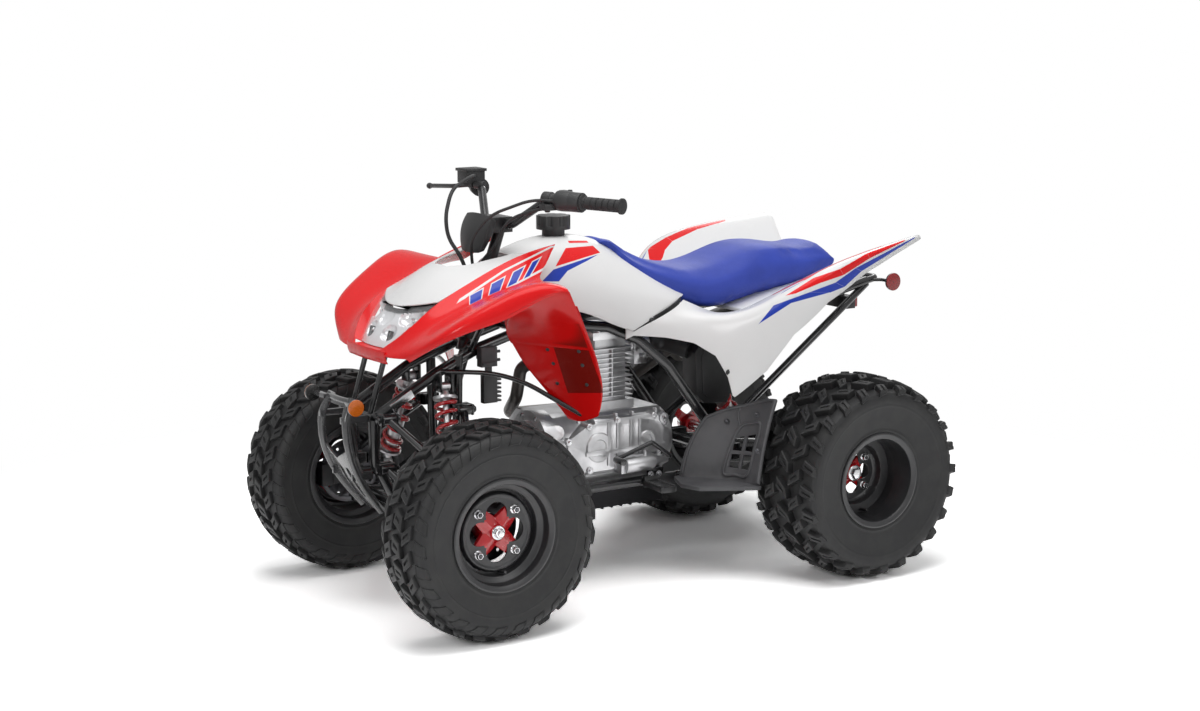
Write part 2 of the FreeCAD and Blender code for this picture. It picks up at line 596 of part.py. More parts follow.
def front_fender():
    """Left fender: steep flank, trough, wide wing and a turned-down lip."""
    rows = [
        [(66, -722, 676), (92, -726, 668), (122, -724, 668), (158, -716, 669), (192, -705, 671), (190, -700, 662)],
        [(126, -690, 716), (150, -692, 704), (178, -692, 702), (220, -690, 708), (262, -687, 714), (258, -682, 699)],
        [(142, -640, 765), (166, -648, 742), (194, -655, 734), (252, -661, 742), (312, -667, 750), (308, -660, 728)],
        [(142, -585, 802), (174, -592, 774), (206, -600, 764), (276, -602, 782), (345, -603, 796), (342, -596, 756)],
        [(141, -500, 840), (176, -512, 805), (214, -522, 795), (296, -526, 820), (376, -528, 838), (373, -520, 778)],
        [(141, -420, 877), (180, -436, 836), (226, -450, 822), (316, -462, 850), (402, -468, 866), (398, -460, 822)],
        [(142, -330, 908), (182, -362, 858), (226, -392, 836), (324, -404, 860), (420, -412, 869), (416, -404, 842)],
        [(142, -250, 920), (176, -300, 872), (205, -342, 842), (312, -362, 848), (417, -380, 851), (412, -376, 836)],
    ]
    left = panel(rows, PANEL_WALL)
    nose = panel([[(104 * t, dy - 728 + 6 * t * t, z) for t in (-1, -0.5, 0, 0.5, 1)]
                  for dy, z in ((2, 679), (0, 668), (2, 657), (8, 648))], PANEL_WALL)
    return fuse([left, mirrored(left), nose])


def mudflaps(fender):
    rows = [
        [(408, -376, 858), (350, -396, 862), (290, -424, 850), (240, -466, 840)],
        [(401, -322, 735), (345, -360, 735), (290, -405, 735), (245, -468, 735)],
        [(396, -292, 680), (340, -335, 680), (285, -380, 680), (236, -428, 684)],
        [(391, -275, 630), (335, -315, 630), (275, -352, 628), (217, -390, 628)],
        [(385, -256, 565), (345, -285, 560), (300, -314, 558), (258, -342, 560)],
        [(372, -268, 512), (350, -282, 500), (325, -296, 492), (300, -311, 498)],
    ]
    return both_sides(largest(panel(rows, FLAP_WALL).cut(fender)))


def tank_cover(cushion):
    """Saddle over the tank from the steering head back to the side panel split."""
    stations = (
        (-318, 884, 46, 884, 96, 868, 142, 850, 168, 815, 178, 785),
        (-255, 913, 46, 911, 92, 896, 140, 862, 172, 810, 181, 758),
        (-185, 929, 44, 925, 86, 906, 132, 862, 170, 800, 180, 745),
        (-110, 926, 42, 920, 80, 894, 124, 846, 164, 780, 172, 709),
        (-30, 905, 40, 898, 74, 872, 116, 824, 154, 757, 156, 676),
        (60, 852, 40, 848, 80, 826, 118, 786, 148, 735, 158, 658),
        (165, 822, 40, 815, 80, 790, 118, 758, 146, 720, 160, 640),
    )
    rows = []
    for y, top, *pairs in stations:
        side = [(pairs[k], y, pairs[k + 1]) for k in range(0, len(pairs), 2)]
        rows.append([(-x, yy, z) for x, yy, z in reversed(side)] + [(0, y, top)] + side)
    shell = panel(rows, PANEL_WALL)
    behind_split = side_prism([(-25, 673), (150, 746), (152, 1000), (400, 1000), (400, 500), (-25, 500)], -300, 300)
    filler = Part.makeCylinder(CAP_NECK, 80, Vector(0, CAP_Y, 880), Z_AXIS)
    return largest(shell.cut(behind_split).cut(filler).cut(cushion))


def rear_fender(cushion):
    """Left side panel and rear wing in one moulding, rising to a pointed tail."""
    rows = [
        [(118, -40, 800), (130, -40, 770), (141, -40, 742), (150, -40, 716), (153, -40, 690), (153, -40, 655)],
        [(128, 75, 775), (138, 75, 752), (150, 75, 727), (160, 75, 700), (163, 75, 676), (162, 75, 632)],
        [(144, 160, 740), (160, 160, 726), (182, 160, 712), (204, 160, 694), (218, 160, 640), (222, 160, 560)],
        [(152, 215, 712), (176, 215, 706), (222, 215, 708), (272, 215, 704), (292, 210, 610), (306, 208, 470)],
        [(155, 285, 690), (190, 285, 702), (262, 285, 724), (334, 285, 744), (338, 285, 660), (330, 285, 520)],
        [(155, 345, 705), (200, 345, 726), (290, 345, 766), (380, 345, 797), (384, 345, 735), (376, 345, 630)],
        [(152, 430, 728), (210, 430, 753), (310, 430, 806), (418, 430, 847), (421, 430, 800), (414, 430, 725)],
        [(145, 550, 752), (205, 550, 782), (300, 550, 838), (402, 550, 874), (405, 552, 842), (398, 556, 790)],
        [(138, 670, 774), (190, 676, 808), (280, 682, 860), (375, 684, 889), (378, 686, 868), (372, 690, 835)],
        [(126, 716, 784), (200, 738, 824), (270, 768, 868), (335, 797, 898), (340, 803, 888), (338, 808, 872)],
    ]
    wing = panel(rows, PANEL_WALL)
    low_edge = side_prism([(-60, 668), (75, 652), (140, 636), (180, 604), (200, 548), (208, 494), (285, 567),
                           (344, 664), (344, 300), (-60, 300)], 0, 500)
    lip_edge = side_prism([(344, 664), (430, 747), (560, 812), (690, 853), (830, 890), (830, 300), (344, 300)],
                          325, 500)
    split = side_prism([(-25, 671), (149, 744), (149, 1000), (-100, 1000), (-100, 500), (-25, 500)], 0, 400)
    split.translate(Vector(0, 1.5, 0))
    wing = wing.cut(low_edge).cut(lip_edge).cut(split)
    top = [(330, 706), (430, 731), (550, 755), (640, 772), (700, 783)]
    bridge = side_prism(top + [(y, z - 11) for y, z in reversed(top)], -158, 158)
    return fuse([wing, mirrored(wing), bridge]).cut(cushion)


def seat():
    stations = ((-55, 52, 917, 905), (0, 84, 896, 856), (70, 112, 850, 790), (140, 134, 829, 748),
                (230, 146, 817, 716), (320, 148, 832, 722), (420, 144, 860, 736), (520, 138, 856, 750),
                (620, 130, 847, 772), (700, 112, 828, 794))
    sections = []
    for y, half, top, bottom in stations:
        middle = (top + bottom) / 2
        side = [(half, y, middle), (0.93 * half, y, bottom + 0.12 * (top - bottom)), (0, y, bottom),
                (-0.93 * half, y, bottom + 0.12 * (top - bottom)), (-half, y, middle),
                (-0.72 * half, y, top - 0.12 * (top - bottom)), (0, y, top),
                (0.72 * half, y, top - 0.12 * (top - bottom))]
        sections.append(side)
    return loft(sections)


def headlights():
    """The clear lens across the nose and the housing 0.3 mm behind it, with two bowls a side."""
    rows = []
    for t, y, z in ((0, -646, 771), (0.33, -676, 742), (0.66, -700, 710), (1, -712, 682)):
        half = 136 - 66 * t
        rows.append([Vector(half * s, y + 50 * (1 - 0.8 * t) * s * s, z + 20 * (1 - t) * s * s)
                     for s in (-1, -0.5, 0, 0.5, 1)])
    lens = panel(rows, -LENS_WALL)
    housing = panel(offset_rows(rows, -LENS_WALL - RUNNING_GAP), LENS_WALL - LAMP_DEPTH)
    bowls = [Part.makeSphere(44, Vector(98, -684, 774)), Part.makeSphere(34, Vector(56, -722, 718))]
    bowls += [mirrored(bowl) for bowl in bowls]
    return lens, housing.cut(fuse(bowls))


def crankcase():
    """Engine cases: main block between the rails, covers, ribs, sump fins and the starter's mount."""
    half, low_half, front, rear = CASE_HALF, 104, CASE_FRONT, CASE_REAR
    side = half - 14
    case = polygon_prism([(-low_half, front, CASE_BOTTOM), (low_half, front, CASE_BOTTOM), (low_half, front, 290),
                          (side, front, 306), (side, front, 400), (84, front, CASE_TOP),
                          (-84, front, CASE_TOP), (6 - half, front, 400), (6 - half, front, 306),
                          (-low_half, front, 290)], (0, rear - front, 0))
    side_cover = side_prism([(-205, 318), (-216, 398), (-150, 434), (-60, 444), (rear - 50, 444), (rear - 14, 420),
                             (rear - 30, 334), (24, 312), (-150, 308)], side - 26, side + 9)
    cover = Part.makeCylinder(98, 40, Vector(48, front - 40, 374), Y_AXIS)
    rim = Part.makeCylinder(72, 12, Vector(48, front - 52, 374), Y_AXIS)
    well = Part.makeCylinder(54, 7, Vector(48, front - 52, 374), Y_AXIS)
    rear_cover = Part.makeCylinder(78, 30, Vector(30, rear, 362), Y_AXIS)
    parts = [case, side_cover, cover, rim, rear_cover,
             box((side - 12, -160, 352), (half, rear - 20, 364)),
             rod((side - 12, -130, 430), (side - 12, rear - 70, 424), 22),
             rod((side - 4, rear - 24, 430), (half, rear - 24, 430), 14),
             box((side, STARTER_FACE_Y - 14, STARTER_Z - 22), (STARTER_X + 12, STARTER_FACE_Y, STARTER_Z + 22)),
             box((-CYLINDER_HALF, CYLINDER_Y - 66, CASE_TOP - 4), (CYLINDER_HALF, CYLINDER_Y + 66, CYLINDER_BASE))]
    for y in (-92, -64, -22, 6):
        parts.append(box((side + 8, y, 320), (half, y + 6, 436)))
    for y in range(-190, int(rear) - 40, 30):
        parts.append(box((-84, y, CASE_BOTTOM - 10), (84, y + 5, CASE_BOTTOM)))
    filler = rod((96, front + 14, 400), (132, front - 6, 424), 20)
    bolt_hole = rod((half - 8, rear - 24, 430), (half + 1, rear - 24, 430), 5)
    starter_space = rod((STARTER_X, STARTER_FACE_Y, STARTER_Z), (STARTER_X, rear, STARTER_Z), STARTER_RADIUS + 2)
    return fuse(parts + [filler]).cut(fuse([well, bolt_hole, starter_space]))


def starter_motor():
    """Starter motor along the left of the cases, bolted face to face on their mount."""
    x, y, z = STARTER_X, STARTER_FACE_Y, STARTER_Z
    barrel = rod((x, y, z), (x, y + 84, z), STARTER_RADIUS)
    cap = rod((x, y + 84, z), (x, y + 92, z), STARTER_RADIUS - 4)
    terminal = rod((x + 10, y + 62, z + 18), (x + 10, y + 62, z + 34), 5)
    return fuse([barrel, cap, terminal])


def carburettor():
    """Carburettor behind the intake stub: throat, float bowl, slide cap and idle screw."""
    y, z = INTAKE_Y, INTAKE_Z
    middle = y + CARBURETTOR_LENGTH / 2
    return fuse([rod((0, y, z), (0, y + CARBURETTOR_LENGTH, z), INTAKE_RADIUS),
                 rod((0, y + 6, z), (0, y + 14, z), INTAKE_RADIUS + 4),
                 box((-23, middle - 20, z - 54), (23, middle + 20, z - 12)),
                 rod((0, middle, z), (0, middle, z + 46), 19),
                 rod((0, middle, z + 40), (0, middle, z + 52), 23),
                 rod((20, middle, z - 30), (44, middle, z - 30), 5)])


def airbox(tubes):
    """Air filter box left of the rear shock, its intake hose and its strap to the cross tube."""
    back = SHOCK_HEAD.y + 82
    case = side_prism([(222, 470), (246, 446), (back - 12, 440), (back, 456), (back, 604), (back - 14, 616),
                       (236, 616), (214, 588)], 44, 108)
    lid = side_prism([(238, 476), (254, 464), (back - 16, 460), (back - 16, 596), (244, 598), (234, 576)], 108, 112)
    mouth = Vector(0, INTAKE_Y + CARBURETTOR_LENGTH, INTAKE_Z)
    hose = tube([mouth, mouth + Vector(0, 52, 0), (72, 220, 592)], INTAKE_RADIUS + 1)
    clamp = rod(mouth + Vector(0, 4, 0), mouth + Vector(0, 14, 0), INTAKE_RADIUS + 4)
    strap = box((62, 292, 606), (86, 308, 668))
    return largest(fuse([case, lid, hose, clamp, strap]).cut(tubes))


def regulator(tubes):
    """Finned voltage regulator under the left top tube, on its strap."""
    parts = [box((44, -418, 508), (62, -378, 586)), box((49, -408, 580), (56, -390, 668))]
    for z in range(510, 586, 11):
        parts.append(box((44, -378, z), (62, -366, z + 5)))
    return largest(fuse(parts).cut(tubes))


def ignition_coil(tubes):
    """Coil on the outside of the left top tube, with its two terminals."""
    parts = [box((80, -448, 612), (104, -402, 662)), box((58, -438, 628), (82, -420, 642)),
             rod((92, -402, 648), (92, -388, 648), 4), rod((92, -402, 626), (92, -388, 626), 4),
             box((76, -444, 618), (108, -406, 624))]
    return largest(fuse(parts).cut(tubes))


def flap_stays(tubes, flaps):
    """Bent bars from the top tubes to the front faces of the mud flaps."""
    bar = tube([(76, -560, 610), (200, -420, 609), (334, -283, 506)], 6)
    return both_sides(largest(bar.cut(tubes).cut(flaps)))


def frame_plate(tubes):
    """Blank plate on the outside of the left front tube."""
    block = box((-34, -10, 4), (34, 10, 15.5))
    turn = FreeCAD.Rotation(Vector(0, 176, 99), Vector(0, -99, 176), X_AXIS, "XZY")
    block.Placement = FreeCAD.Placement(Vector(UPPER_PIVOT_X - 28, -668, 546.5), turn)
    return largest(block.cut(tubes))


def tail_lamp(tubes):
    """Bracket under the tail loop, and the lamp on its rear face."""
    parts = [box((-46, TAIL_Y - 14, 652), (46, TAIL_Y + 18, 688)), box((-24, TAIL_Y - 16, 680), (24, TAIL_Y - 4, 738))]
    lens = box((-42, TAIL_Y + 18, 655), (42, TAIL_Y + 30, 685))
    return largest(fuse(parts).cut(tubes)), lens


def control_cables(switches):
    """Two cables and the brake hose from the bar controls, looped down to a guide on the stem."""
    guide = box((-30, -436, 834), (30, -352, 848))
    guide = guide.cut(rod(STEM_FOOT, STEM_HEAD, STEM_RADIUS))
    lines = [tube([(220, -284, 1037), (160, -330, 1040), (98, -418, 1000), (62, -450, 940), (24, -430, 890),
                   (16, -418, 838)], CABLE_RADIUS),
             tube([(216, -274, 1023), (150, -318, 1012), (100, -368, 985), (70, -388, 915), (30, -405, 872),
                   (14, -396, 838)], CABLE_RADIUS),
             tube([(-198, -290, 1070), (-150, -330, 1074), (-86, -425, 1050), (-60, -458, 985), (-54, -455, 930),
                   (-28, -432, 882), (-20, -418, 838)], HOSE_RADIUS)]
    return largest(fuse([guide] + lines).cut(switches))


def cylinder():
    """Upright air-cooled cylinder: a stack of fins on a core under a domed head cover."""
    base = CYLINDER_BASE
    core = box((-48, CYLINDER_Y - 48, base), (48, CYLINDER_Y + 48, 655))
    fins = [core]
    for k in range(FIN_COUNT):
        half = CYLINDER_HALF - (6 if k in (5, 6) else 0)
        z = base + 10 + FIN_PITCH * k
        fins.append(box((-half, CYLINDER_Y - half, z), (half, CYLINDER_Y + half, z + FIN_WALL)))
    rib = box((-2.5, CYLINDER_Y - CYLINDER_HALF + 3, base + 10),
              (2.5, CYLINDER_Y + CYLINDER_HALF - 3, base + 10 + FIN_PITCH * (FIN_COUNT - 1)))
    spine = box((-CYLINDER_HALF + 3, CYLINDER_Y - 2.5, base + 10),
                (CYLINDER_HALF - 3, CYLINDER_Y + 2.5, base + 10 + FIN_PITCH * (FIN_COUNT - 1)))
    head = box((-52, CYLINDER_Y - 56, 640), (52, CYLINDER_Y + 56, 660))
    ridge = side_prism([(CYLINDER_Y - 50, 660), (CYLINDER_Y + 50, 660), (CYLINDER_Y + 34, 672),
                        (CYLINDER_Y - 34, 672)], -34, 34)
    intake = rod((0, CYLINDER_Y + 40, INTAKE_Z), (0, INTAKE_Y, INTAKE_Z), INTAKE_RADIUS - 5)
    return fuse(fins + [rib, spine, head, ridge, intake])


def exhaust():
    """Header from the front of the head, down the right and back to the muffler."""
    port_y = CYLINDER_Y - CYLINDER_HALF
    header = tube([(-20, port_y, 600), (-20, -150, 600), (-92, -216, 560), (-100, -226, 480),
                   (-172, -210, 420), (-178, 40, 410), (-184, 240, 500), (-190, 360, 560)], 17, 30)
    muffler = rod((-190, 350, 556), (-190, 690, 640), 52)
    outlet = rod((-190, 680, 636), (-190, 735, 648), 17)
    return fuse([header, muffler, outlet])


def swingarm():
    """Rear arm with the shaft tube on the left, final drive case and axle housing."""
    y, pivot, high = REAR_AXLE_Y, SWING_PIVOT_Y, SWING_PIVOT_Z
    seat_y = SHOCK_SEAT.y
    parts = [rod((-SWINGARM_HALF, pivot, high), (SWINGARM_HALF, pivot, high), 20),
             rod((66, pivot, high), (66, y, AXLE_Z), 34),
             rod((-92, pivot, high), (-92, y, AXLE_Z), 22),
             rod((-150, y, AXLE_Z), (150, y, AXLE_Z), 36),
             rod((30, y, AXLE_Z), (104, y, AXLE_Z), 84),
             rod((-150, y, AXLE_Z), (-118, y, AXLE_Z), 82),
             box((-22, seat_y - 40, 300), (22, seat_y + 30, 326)),
             box((EYE_HALF + RUNNING_GAP, seat_y - 16, 300), (20, seat_y + 16, SHOCK_SEAT.z + 13)),
             box((-20, seat_y - 16, 300), (-EYE_HALF - RUNNING_GAP, seat_y + 16, SHOCK_SEAT.z + 13)),
             rod((EYE_HALF, seat_y, SHOCK_SEAT.z), (20, seat_y, SHOCK_SEAT.z), 6),
             rod((-92, seat_y - 10, 288), (66, seat_y - 10, 288), 20)]
    bore = rod((-170, y, AXLE_Z), (170, y, AXLE_Z), REAR_AXLE_RADIUS + RUNNING_GAP)
    return fuse(parts).cut(bore)


def heel_guards():
    """Left guard between the foot peg and the rear tyre: a curved wall on a floor lip."""
    edge = GUARD_Y
    wall = panel([[(168, edge - 114, 270), (205, edge - 68, 264), (262, edge - 24, 264), (322, edge - 2, 266),
                   (372, edge, 272)],
                  [(168, edge - 104, 330), (208, edge - 56, 330), (266, edge - 10, 330), (326, edge + 12, 335),
                   (372, edge + 10, 345)],
                  [(172, edge - 84, 380), (212, edge - 36, 390), (270, edge + 8, 398), (328, edge + 30, 402),
                   (366, edge + 26, 404)],
                  [(180, edge - 40, 425), (216, edge - 4, 450), (272, edge + 36, 470), (328, edge + 64, 492),
                   (356, edge + 66, 492)]], 4)
    floor = polygon_prism([(154, edge - 122, 258), (240, edge - 158, 258), (300, edge - 140, 258),
                           (374, edge - 10, 258), (374, edge + 6, 258), (322, edge + 4, 258),
                           (262, edge - 18, 258), (205, edge - 62, 258), (154, edge - 108, 258)], (0, 0, 10))
    windows = []
    for low, high, floor_z, left_z, right_z in ((262, 288, 300, 336, 338), (296, 322, 300, 338, 340),
                                                (262, 288, 346, 378, 386), (296, 322, 348, 388, 396)):
        windows.append(polygon_prism([(low, edge - 136, floor_z), (high, edge - 136, floor_z),
                                      (high, edge - 136, right_z), (low, edge - 136, left_z)], (0, 300, 0)))
    return fuse([wall.cut(fuse(windows)), floor])


def foot_pegs():
    """Left and right pegs with a toothed upper edge, each on its bracket."""
    y = PEG_Y
    peg = polygon_prism([(153, y + 8, 252), (244, y, 252), (250, y + 10, 252), (250, y + 40, 252),
                         (244, y + 48, 252), (153, y + 48, 252)], (0, 0, 14))
    teeth = []
    for x in range(166, 246, 10):
        for edge in (y + 5, y + 40):
            teeth.append(polygon_prism([(x, edge, 266), (x + 6, edge, 266), (x + 3, edge, 271)], (0, 6, 0)))
    bracket = box((147, y + 8, 248), (154, y + 108, 278))
    return both_sides(fuse([peg, bracket] + teeth))


def pedals():
    """Gear lever on the left and brake pedal on the right."""
    y = CASE_REAR - 20
    lever = tube([(CASE_HALF - 14, y, 330), (176, y, 330), (178, y - 64, 376), (180, y - 174, 344)], 6, 10)
    rubber = rod((176, y - 176, 342), (216, y - 178, 342), 9)
    brake = tube([(6 - CASE_HALF, y, 320), (-168, y, 320), (-172, y - 70, 340), (-176, y - 176, 322)], 7, 14)
    pad = box((-222, y - 194, 316), (-170, y - 162, 328))
    return Part.makeCompound([fuse([lever, rubber]), fuse([brake, pad])])


def stem_square():
    """The direction square to the steering axis that points back along the machine."""
    return X_AXIS.cross(stem_axis()) * -1


def arm_root():
    """The point of the steering axis from which the tie rod joints stand square."""
    return stem_point(TIE_ROD_Z - STEER_ARM * stem_square().z)


def tie_rod_inner():
    """Centre of the left inner tie rod joint, one arm length behind the steering axis."""
    return arm_root() + stem_square() * STEER_ARM + X_AXIS * TIE_ROD_INNER_X


def tie_rod():
    """Left tie rod from the steering arm to the knuckle arm, with an open eye at the knuckle."""
    inner = tie_rod_inner()
    outer = Vector(KINGPIN_X, FRONT_AXLE_Y + STEER_ARM, TIE_ROD_Z)
    along = (outer - inner).normalize()
    shaft = rod(inner + along * 10, outer - along * (TIE_ROD_EYE_BORE + 3), TIE_ROD_RADIUS)
    eye = ring(outer, Z_AXIS, TIE_ROD_EYE, TIE_ROD_EYE_BORE, 8)
    knob = ring(inner, stem_axis(), 13, TIE_ROD_PIVOT + RUNNING_GAP, 10)
    shaft = shaft.cut(rod(inner - stem_axis() * 9, inner + stem_axis() * 9, TIE_ROD_PIVOT + RUNNING_GAP))
    return fuse([shaft, eye, knob])


def handlebar():
    end = BAR_END
    half = [tuple(end), tuple(BAR_BEND), (66, BAR_CLAMP_Y, BAR_CLAMP_Z)]
    path = half + [(-x, y, z) for x, y, z in reversed(half)]
    return tube(path, BAR_RADIUS, 38)


def grips():
    along = (BAR_BEND - BAR_END).normalize()
    start = BAR_END - along * 4
    sleeve = rod(start, start + along * GRIP_LENGTH, GRIP_RADIUS)
    flange = rod(start, start + along * 6, GRIP_RADIUS + 4)
    collar = rod(start + along * (GRIP_LENGTH - 6), start + along * GRIP_LENGTH, GRIP_RADIUS + 5)
    bore = rod(BAR_END, start + along * (GRIP_LENGTH + 5), BAR_RADIUS)
    return both_sides(fuse([sleeve, flange, collar]).cut(bore))


def steering_stem():
    """Inclined steering shaft with the bar clamp on top and the tie rod arm at its foot."""
    axis = stem_axis()
    shaft = rod(STEM_FOOT, STEM_HEAD - axis * 10, STEM_RADIUS)
    clamp = box((-40, -376.6, 945), (40, -316, 985))
    bar_seat = rod((-60, BAR_CLAMP_Y, BAR_CLAMP_Z), (60, BAR_CLAMP_Y, BAR_CLAMP_Z), BAR_RADIUS)
    plate = box((-18, -18, 9), (18, STEER_ARM + 8, 17))
    pins = []
    for x in (-TIE_ROD_INNER_X, TIE_ROD_INNER_X):
        pins.append(rod((x, STEER_ARM, 9), (x, STEER_ARM, 17), 15))
        pins.append(rod((x, STEER_ARM, -8), (x, STEER_ARM, 12), TIE_ROD_PIVOT))
    arm = fuse([plate] + pins)
    arm.Placement = FreeCAD.Placement(arm_root(), FreeCAD.Rotation(X_AXIS, -stem_rake()))
    parts = [shaft, clamp.cut(bar_seat), arm]
    return fuse(parts)


def mount_pad():
    cover = panel([[(-62, -392, 990), (-30, -398, 996), (30, -398, 996), (62, -392, 990)],
                   [(-74, -408, 962), (-36, -416, 966), (36, -416, 966), (74, -408, 962)],
                   [(-66, -416, 930), (-32, -426, 932), (32, -426, 932), (66, -416, 930)],
                   [(-44, -420, 898), (-22, -428, 896), (22, -428, 896), (44, -420, 898)]], -22)
    return cover


def controls():
    """Switch housing on the left, brake reservoir, lever and throttle case on the right."""
    along = (BAR_BEND - BAR_END).normalize()
    start = BAR_END + along * (GRIP_LENGTH - 4)
    case = rod(start, start + along * 60, 25)
    bore = rod(BAR_END, BAR_BEND, BAR_RADIUS)
    left = case.cut(bore)
    tank = box((-246, -318, 1050), (-196, -262, 1089))
    lever = tube([(-205, -300, 1046), (-250, -330, 1040), (-380, -330, 1030)], 6, 20)
    right = fuse([mirrored(case), tank, lever]).cut(mirrored(bore))
    return Part.makeCompound(left.Solids + right.Solids)


def reflectors(x, y, z, radius):
    return both_sides(rod((x, y, z), (x + 8, y, z), radius))


def fuel_cap():
    neck = Part.makeCylinder(CAP_NECK, 30, Vector(0, CAP_Y, 912), Z_AXIS)
    grip = Part.makeCylinder(CAP_RADIUS, 36, Vector(0, CAP_Y, 940), Z_AXIS)
    flute = Part.makeCylinder(11, 26, Vector(CAP_RADIUS + 6, CAP_Y, 950), Z_AXIS)
    return neck.fuse(grip).cut(fuse(around(flute, 8, (0, CAP_Y, 0), Z_AXIS)))


def placed(shape, x, y, z):
    copy = shape.copy()
    copy.translate(Vector(x, y, z))
    return copy


def nodes():
    made = {}
    rim, hub, brake = front_wheel()
    front = {"front_tyre": tyre(FRONT_TYRE_WIDTH, FRONT_BEAD_RADIUS, FRONT_RIM_HALF - 4, FRONT_LUG_HEIGHT,
                                LUG_COUNT),
             "front_rim": rim, "front_hub": hub, "brake_disc": brake}
    for name, shape in front.items():
        left = placed(shape, FRONT_WHEEL_X, FRONT_AXLE_Y, AXLE_Z)
        made[name + "_left"] = left
        made[name + "_right"] = mirrored(left)
    rear_tyre = tyre(REAR_TYRE_WIDTH, REAR_BEAD_RADIUS, REAR_RIM_HALF - 4, REAR_LUG_HEIGHT, LUG_COUNT)
    rear_rim, rear_hub = rear_wheel()
    left = placed(rear_tyre, REAR_WHEEL_X, REAR_AXLE_Y, AXLE_Z)
    made["rear_tyre_left"] = left
    made["rear_tyre_right"] = mirrored(left)
    made["rear_rims"] = both_sides(placed(rear_rim, REAR_WHEEL_X, REAR_AXLE_Y, AXLE_Z))
    made["rear_hubs"] = both_sides(placed(rear_hub, REAR_WHEEL_X, REAR_AXLE_Y, AXLE_Z))
    axle_half = REAR_WHEEL_X + REAR_DISC_X + 12
    made["rear_axle"] = rod((-axle_half, REAR_AXLE_Y, AXLE_Z), (axle_half, REAR_AXLE_Y, AXLE_Z), REAR_AXLE_RADIUS)
    made["knuckle_left"] = knuckle()
    made["knuckle_right"] = mirrored(made["knuckle_left"])
    made["tie_rod_left"] = tie_rod()
    made["tie_rod_right"] = mirrored(made["tie_rod_left"])
    made["upper_arms"] = both_sides(control_arm(UPPER_PIVOT_X, UPPER_PIVOT_Z, UPPER_BALL_Z, -4))
    lower_arm = control_arm(LOWER_PIVOT_X, LOWER_PIVOT_Z, LOWER_BALL_Z, 4)
    made["lower_arms"] = both_sides(lower_arm.fuse(shock_seat()))
    body, spring_foot, spring_head = shock(SHOCK_FOOT, SHOCK_TOP, Y_AXIS)
    made["front_shocks"] = both_sides(body)
    made["front_springs"] = both_sides(coil_spring(spring_foot, spring_head))
    rear_body, spring_foot, spring_head = shock(SHOCK_SEAT, SHOCK_HEAD, X_AXIS)
    made["rear_shock"] = rear_body
    made["rear_spring"] = coil_spring(spring_foot, spring_head)
    made["seat"] = seat()
    made["headlight_lens"], made["headlights"] = headlights()
    made["front_fender"] = front_fender()
    made["mudflaps"] = mudflaps(made["front_fender"])
    made["hood"] = hood(made["front_fender"])
    made["tank_cover"] = tank_cover(made["seat"])
    made["rear_fender"] = rear_fender(made["seat"])
    tubes = frame()
    for cover in ("headlights", "headlight_lens", "front_fender", "tank_cover", "rear_fender"):
        tubes = tubes.cut(made[cover])
    made["frame"] = largest(tubes)
    made["front_bumper"] = front_bumper(made["frame"])
    made["flap_stays"] = flap_stays(made["frame"], made["mudflaps"])
    made["frame_plate"] = frame_plate(made["frame"])
    made["regulator"] = regulator(made["frame"])
    made["ignition_coil"] = ignition_coil(made["frame"])
    made["airbox"] = airbox(made["frame"])
    made["tail_bracket"], made["tail_lamp"] = tail_lamp(made["frame"])
    made["carburettor"] = carburettor()
    made["starter_motor"] = starter_motor()
    made["crankcase"] = crankcase()
    made["cylinder"] = cylinder()
    made["exhaust"] = exhaust()
    made["swingarm"] = swingarm()
    made["heel_guards"] = both_sides(heel_guards())
    made["foot_pegs"] = foot_pegs()
    made["pedals"] = pedals()
    made["handlebar"] = handlebar()
    made["grips"] = grips()
    made["steering_stem"] = steering_stem()
    made["handlebar_pad"] = mount_pad()
    made["controls"] = controls()
    made["control_cables"] = control_cables(made["controls"])
    made["fuel_cap"] = fuel_cap()
    made["front_reflectors"] = reflectors(118, -815, 550, 21)
    made["rear_reflectors"] = reflectors(REFLECTOR_X, REAR_REACH - REFLECTOR_RADIUS, 743, REFLECTOR_RADIUS)
    return made


def main():
    os.makedirs("parts", exist_ok=True)
    for name, shape in nodes().items():
        shape.exportStep("parts/" + name + ".step")
        good = "valid" if shape.isValid() else "INVALID"
        print(name, len(shape.Solids), "solids", round(shape.Volume / 1000.0, 1), "cm3", good)


main()
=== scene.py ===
import json
import bmesh
import bpy
import numpy as np
from mathutils import Matrix, Vector

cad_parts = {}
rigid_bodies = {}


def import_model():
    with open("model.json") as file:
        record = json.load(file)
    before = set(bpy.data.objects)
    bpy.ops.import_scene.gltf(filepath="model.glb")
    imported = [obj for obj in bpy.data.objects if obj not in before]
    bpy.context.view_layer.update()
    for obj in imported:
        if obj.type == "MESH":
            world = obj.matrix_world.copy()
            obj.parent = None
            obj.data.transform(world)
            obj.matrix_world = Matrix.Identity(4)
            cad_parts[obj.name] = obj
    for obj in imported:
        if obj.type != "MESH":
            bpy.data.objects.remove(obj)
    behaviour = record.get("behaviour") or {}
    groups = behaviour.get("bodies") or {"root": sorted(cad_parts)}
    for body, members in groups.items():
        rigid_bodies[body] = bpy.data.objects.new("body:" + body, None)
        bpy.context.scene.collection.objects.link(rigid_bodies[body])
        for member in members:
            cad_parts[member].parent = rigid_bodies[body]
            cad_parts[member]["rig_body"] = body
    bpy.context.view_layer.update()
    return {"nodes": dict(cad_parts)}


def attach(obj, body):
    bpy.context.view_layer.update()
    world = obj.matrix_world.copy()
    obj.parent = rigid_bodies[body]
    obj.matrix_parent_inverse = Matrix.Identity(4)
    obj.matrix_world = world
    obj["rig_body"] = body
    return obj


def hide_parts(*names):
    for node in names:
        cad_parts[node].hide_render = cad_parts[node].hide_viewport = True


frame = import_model()
nodes = frame["nodes"]
print("frame loaded:", len(nodes), "nodes")

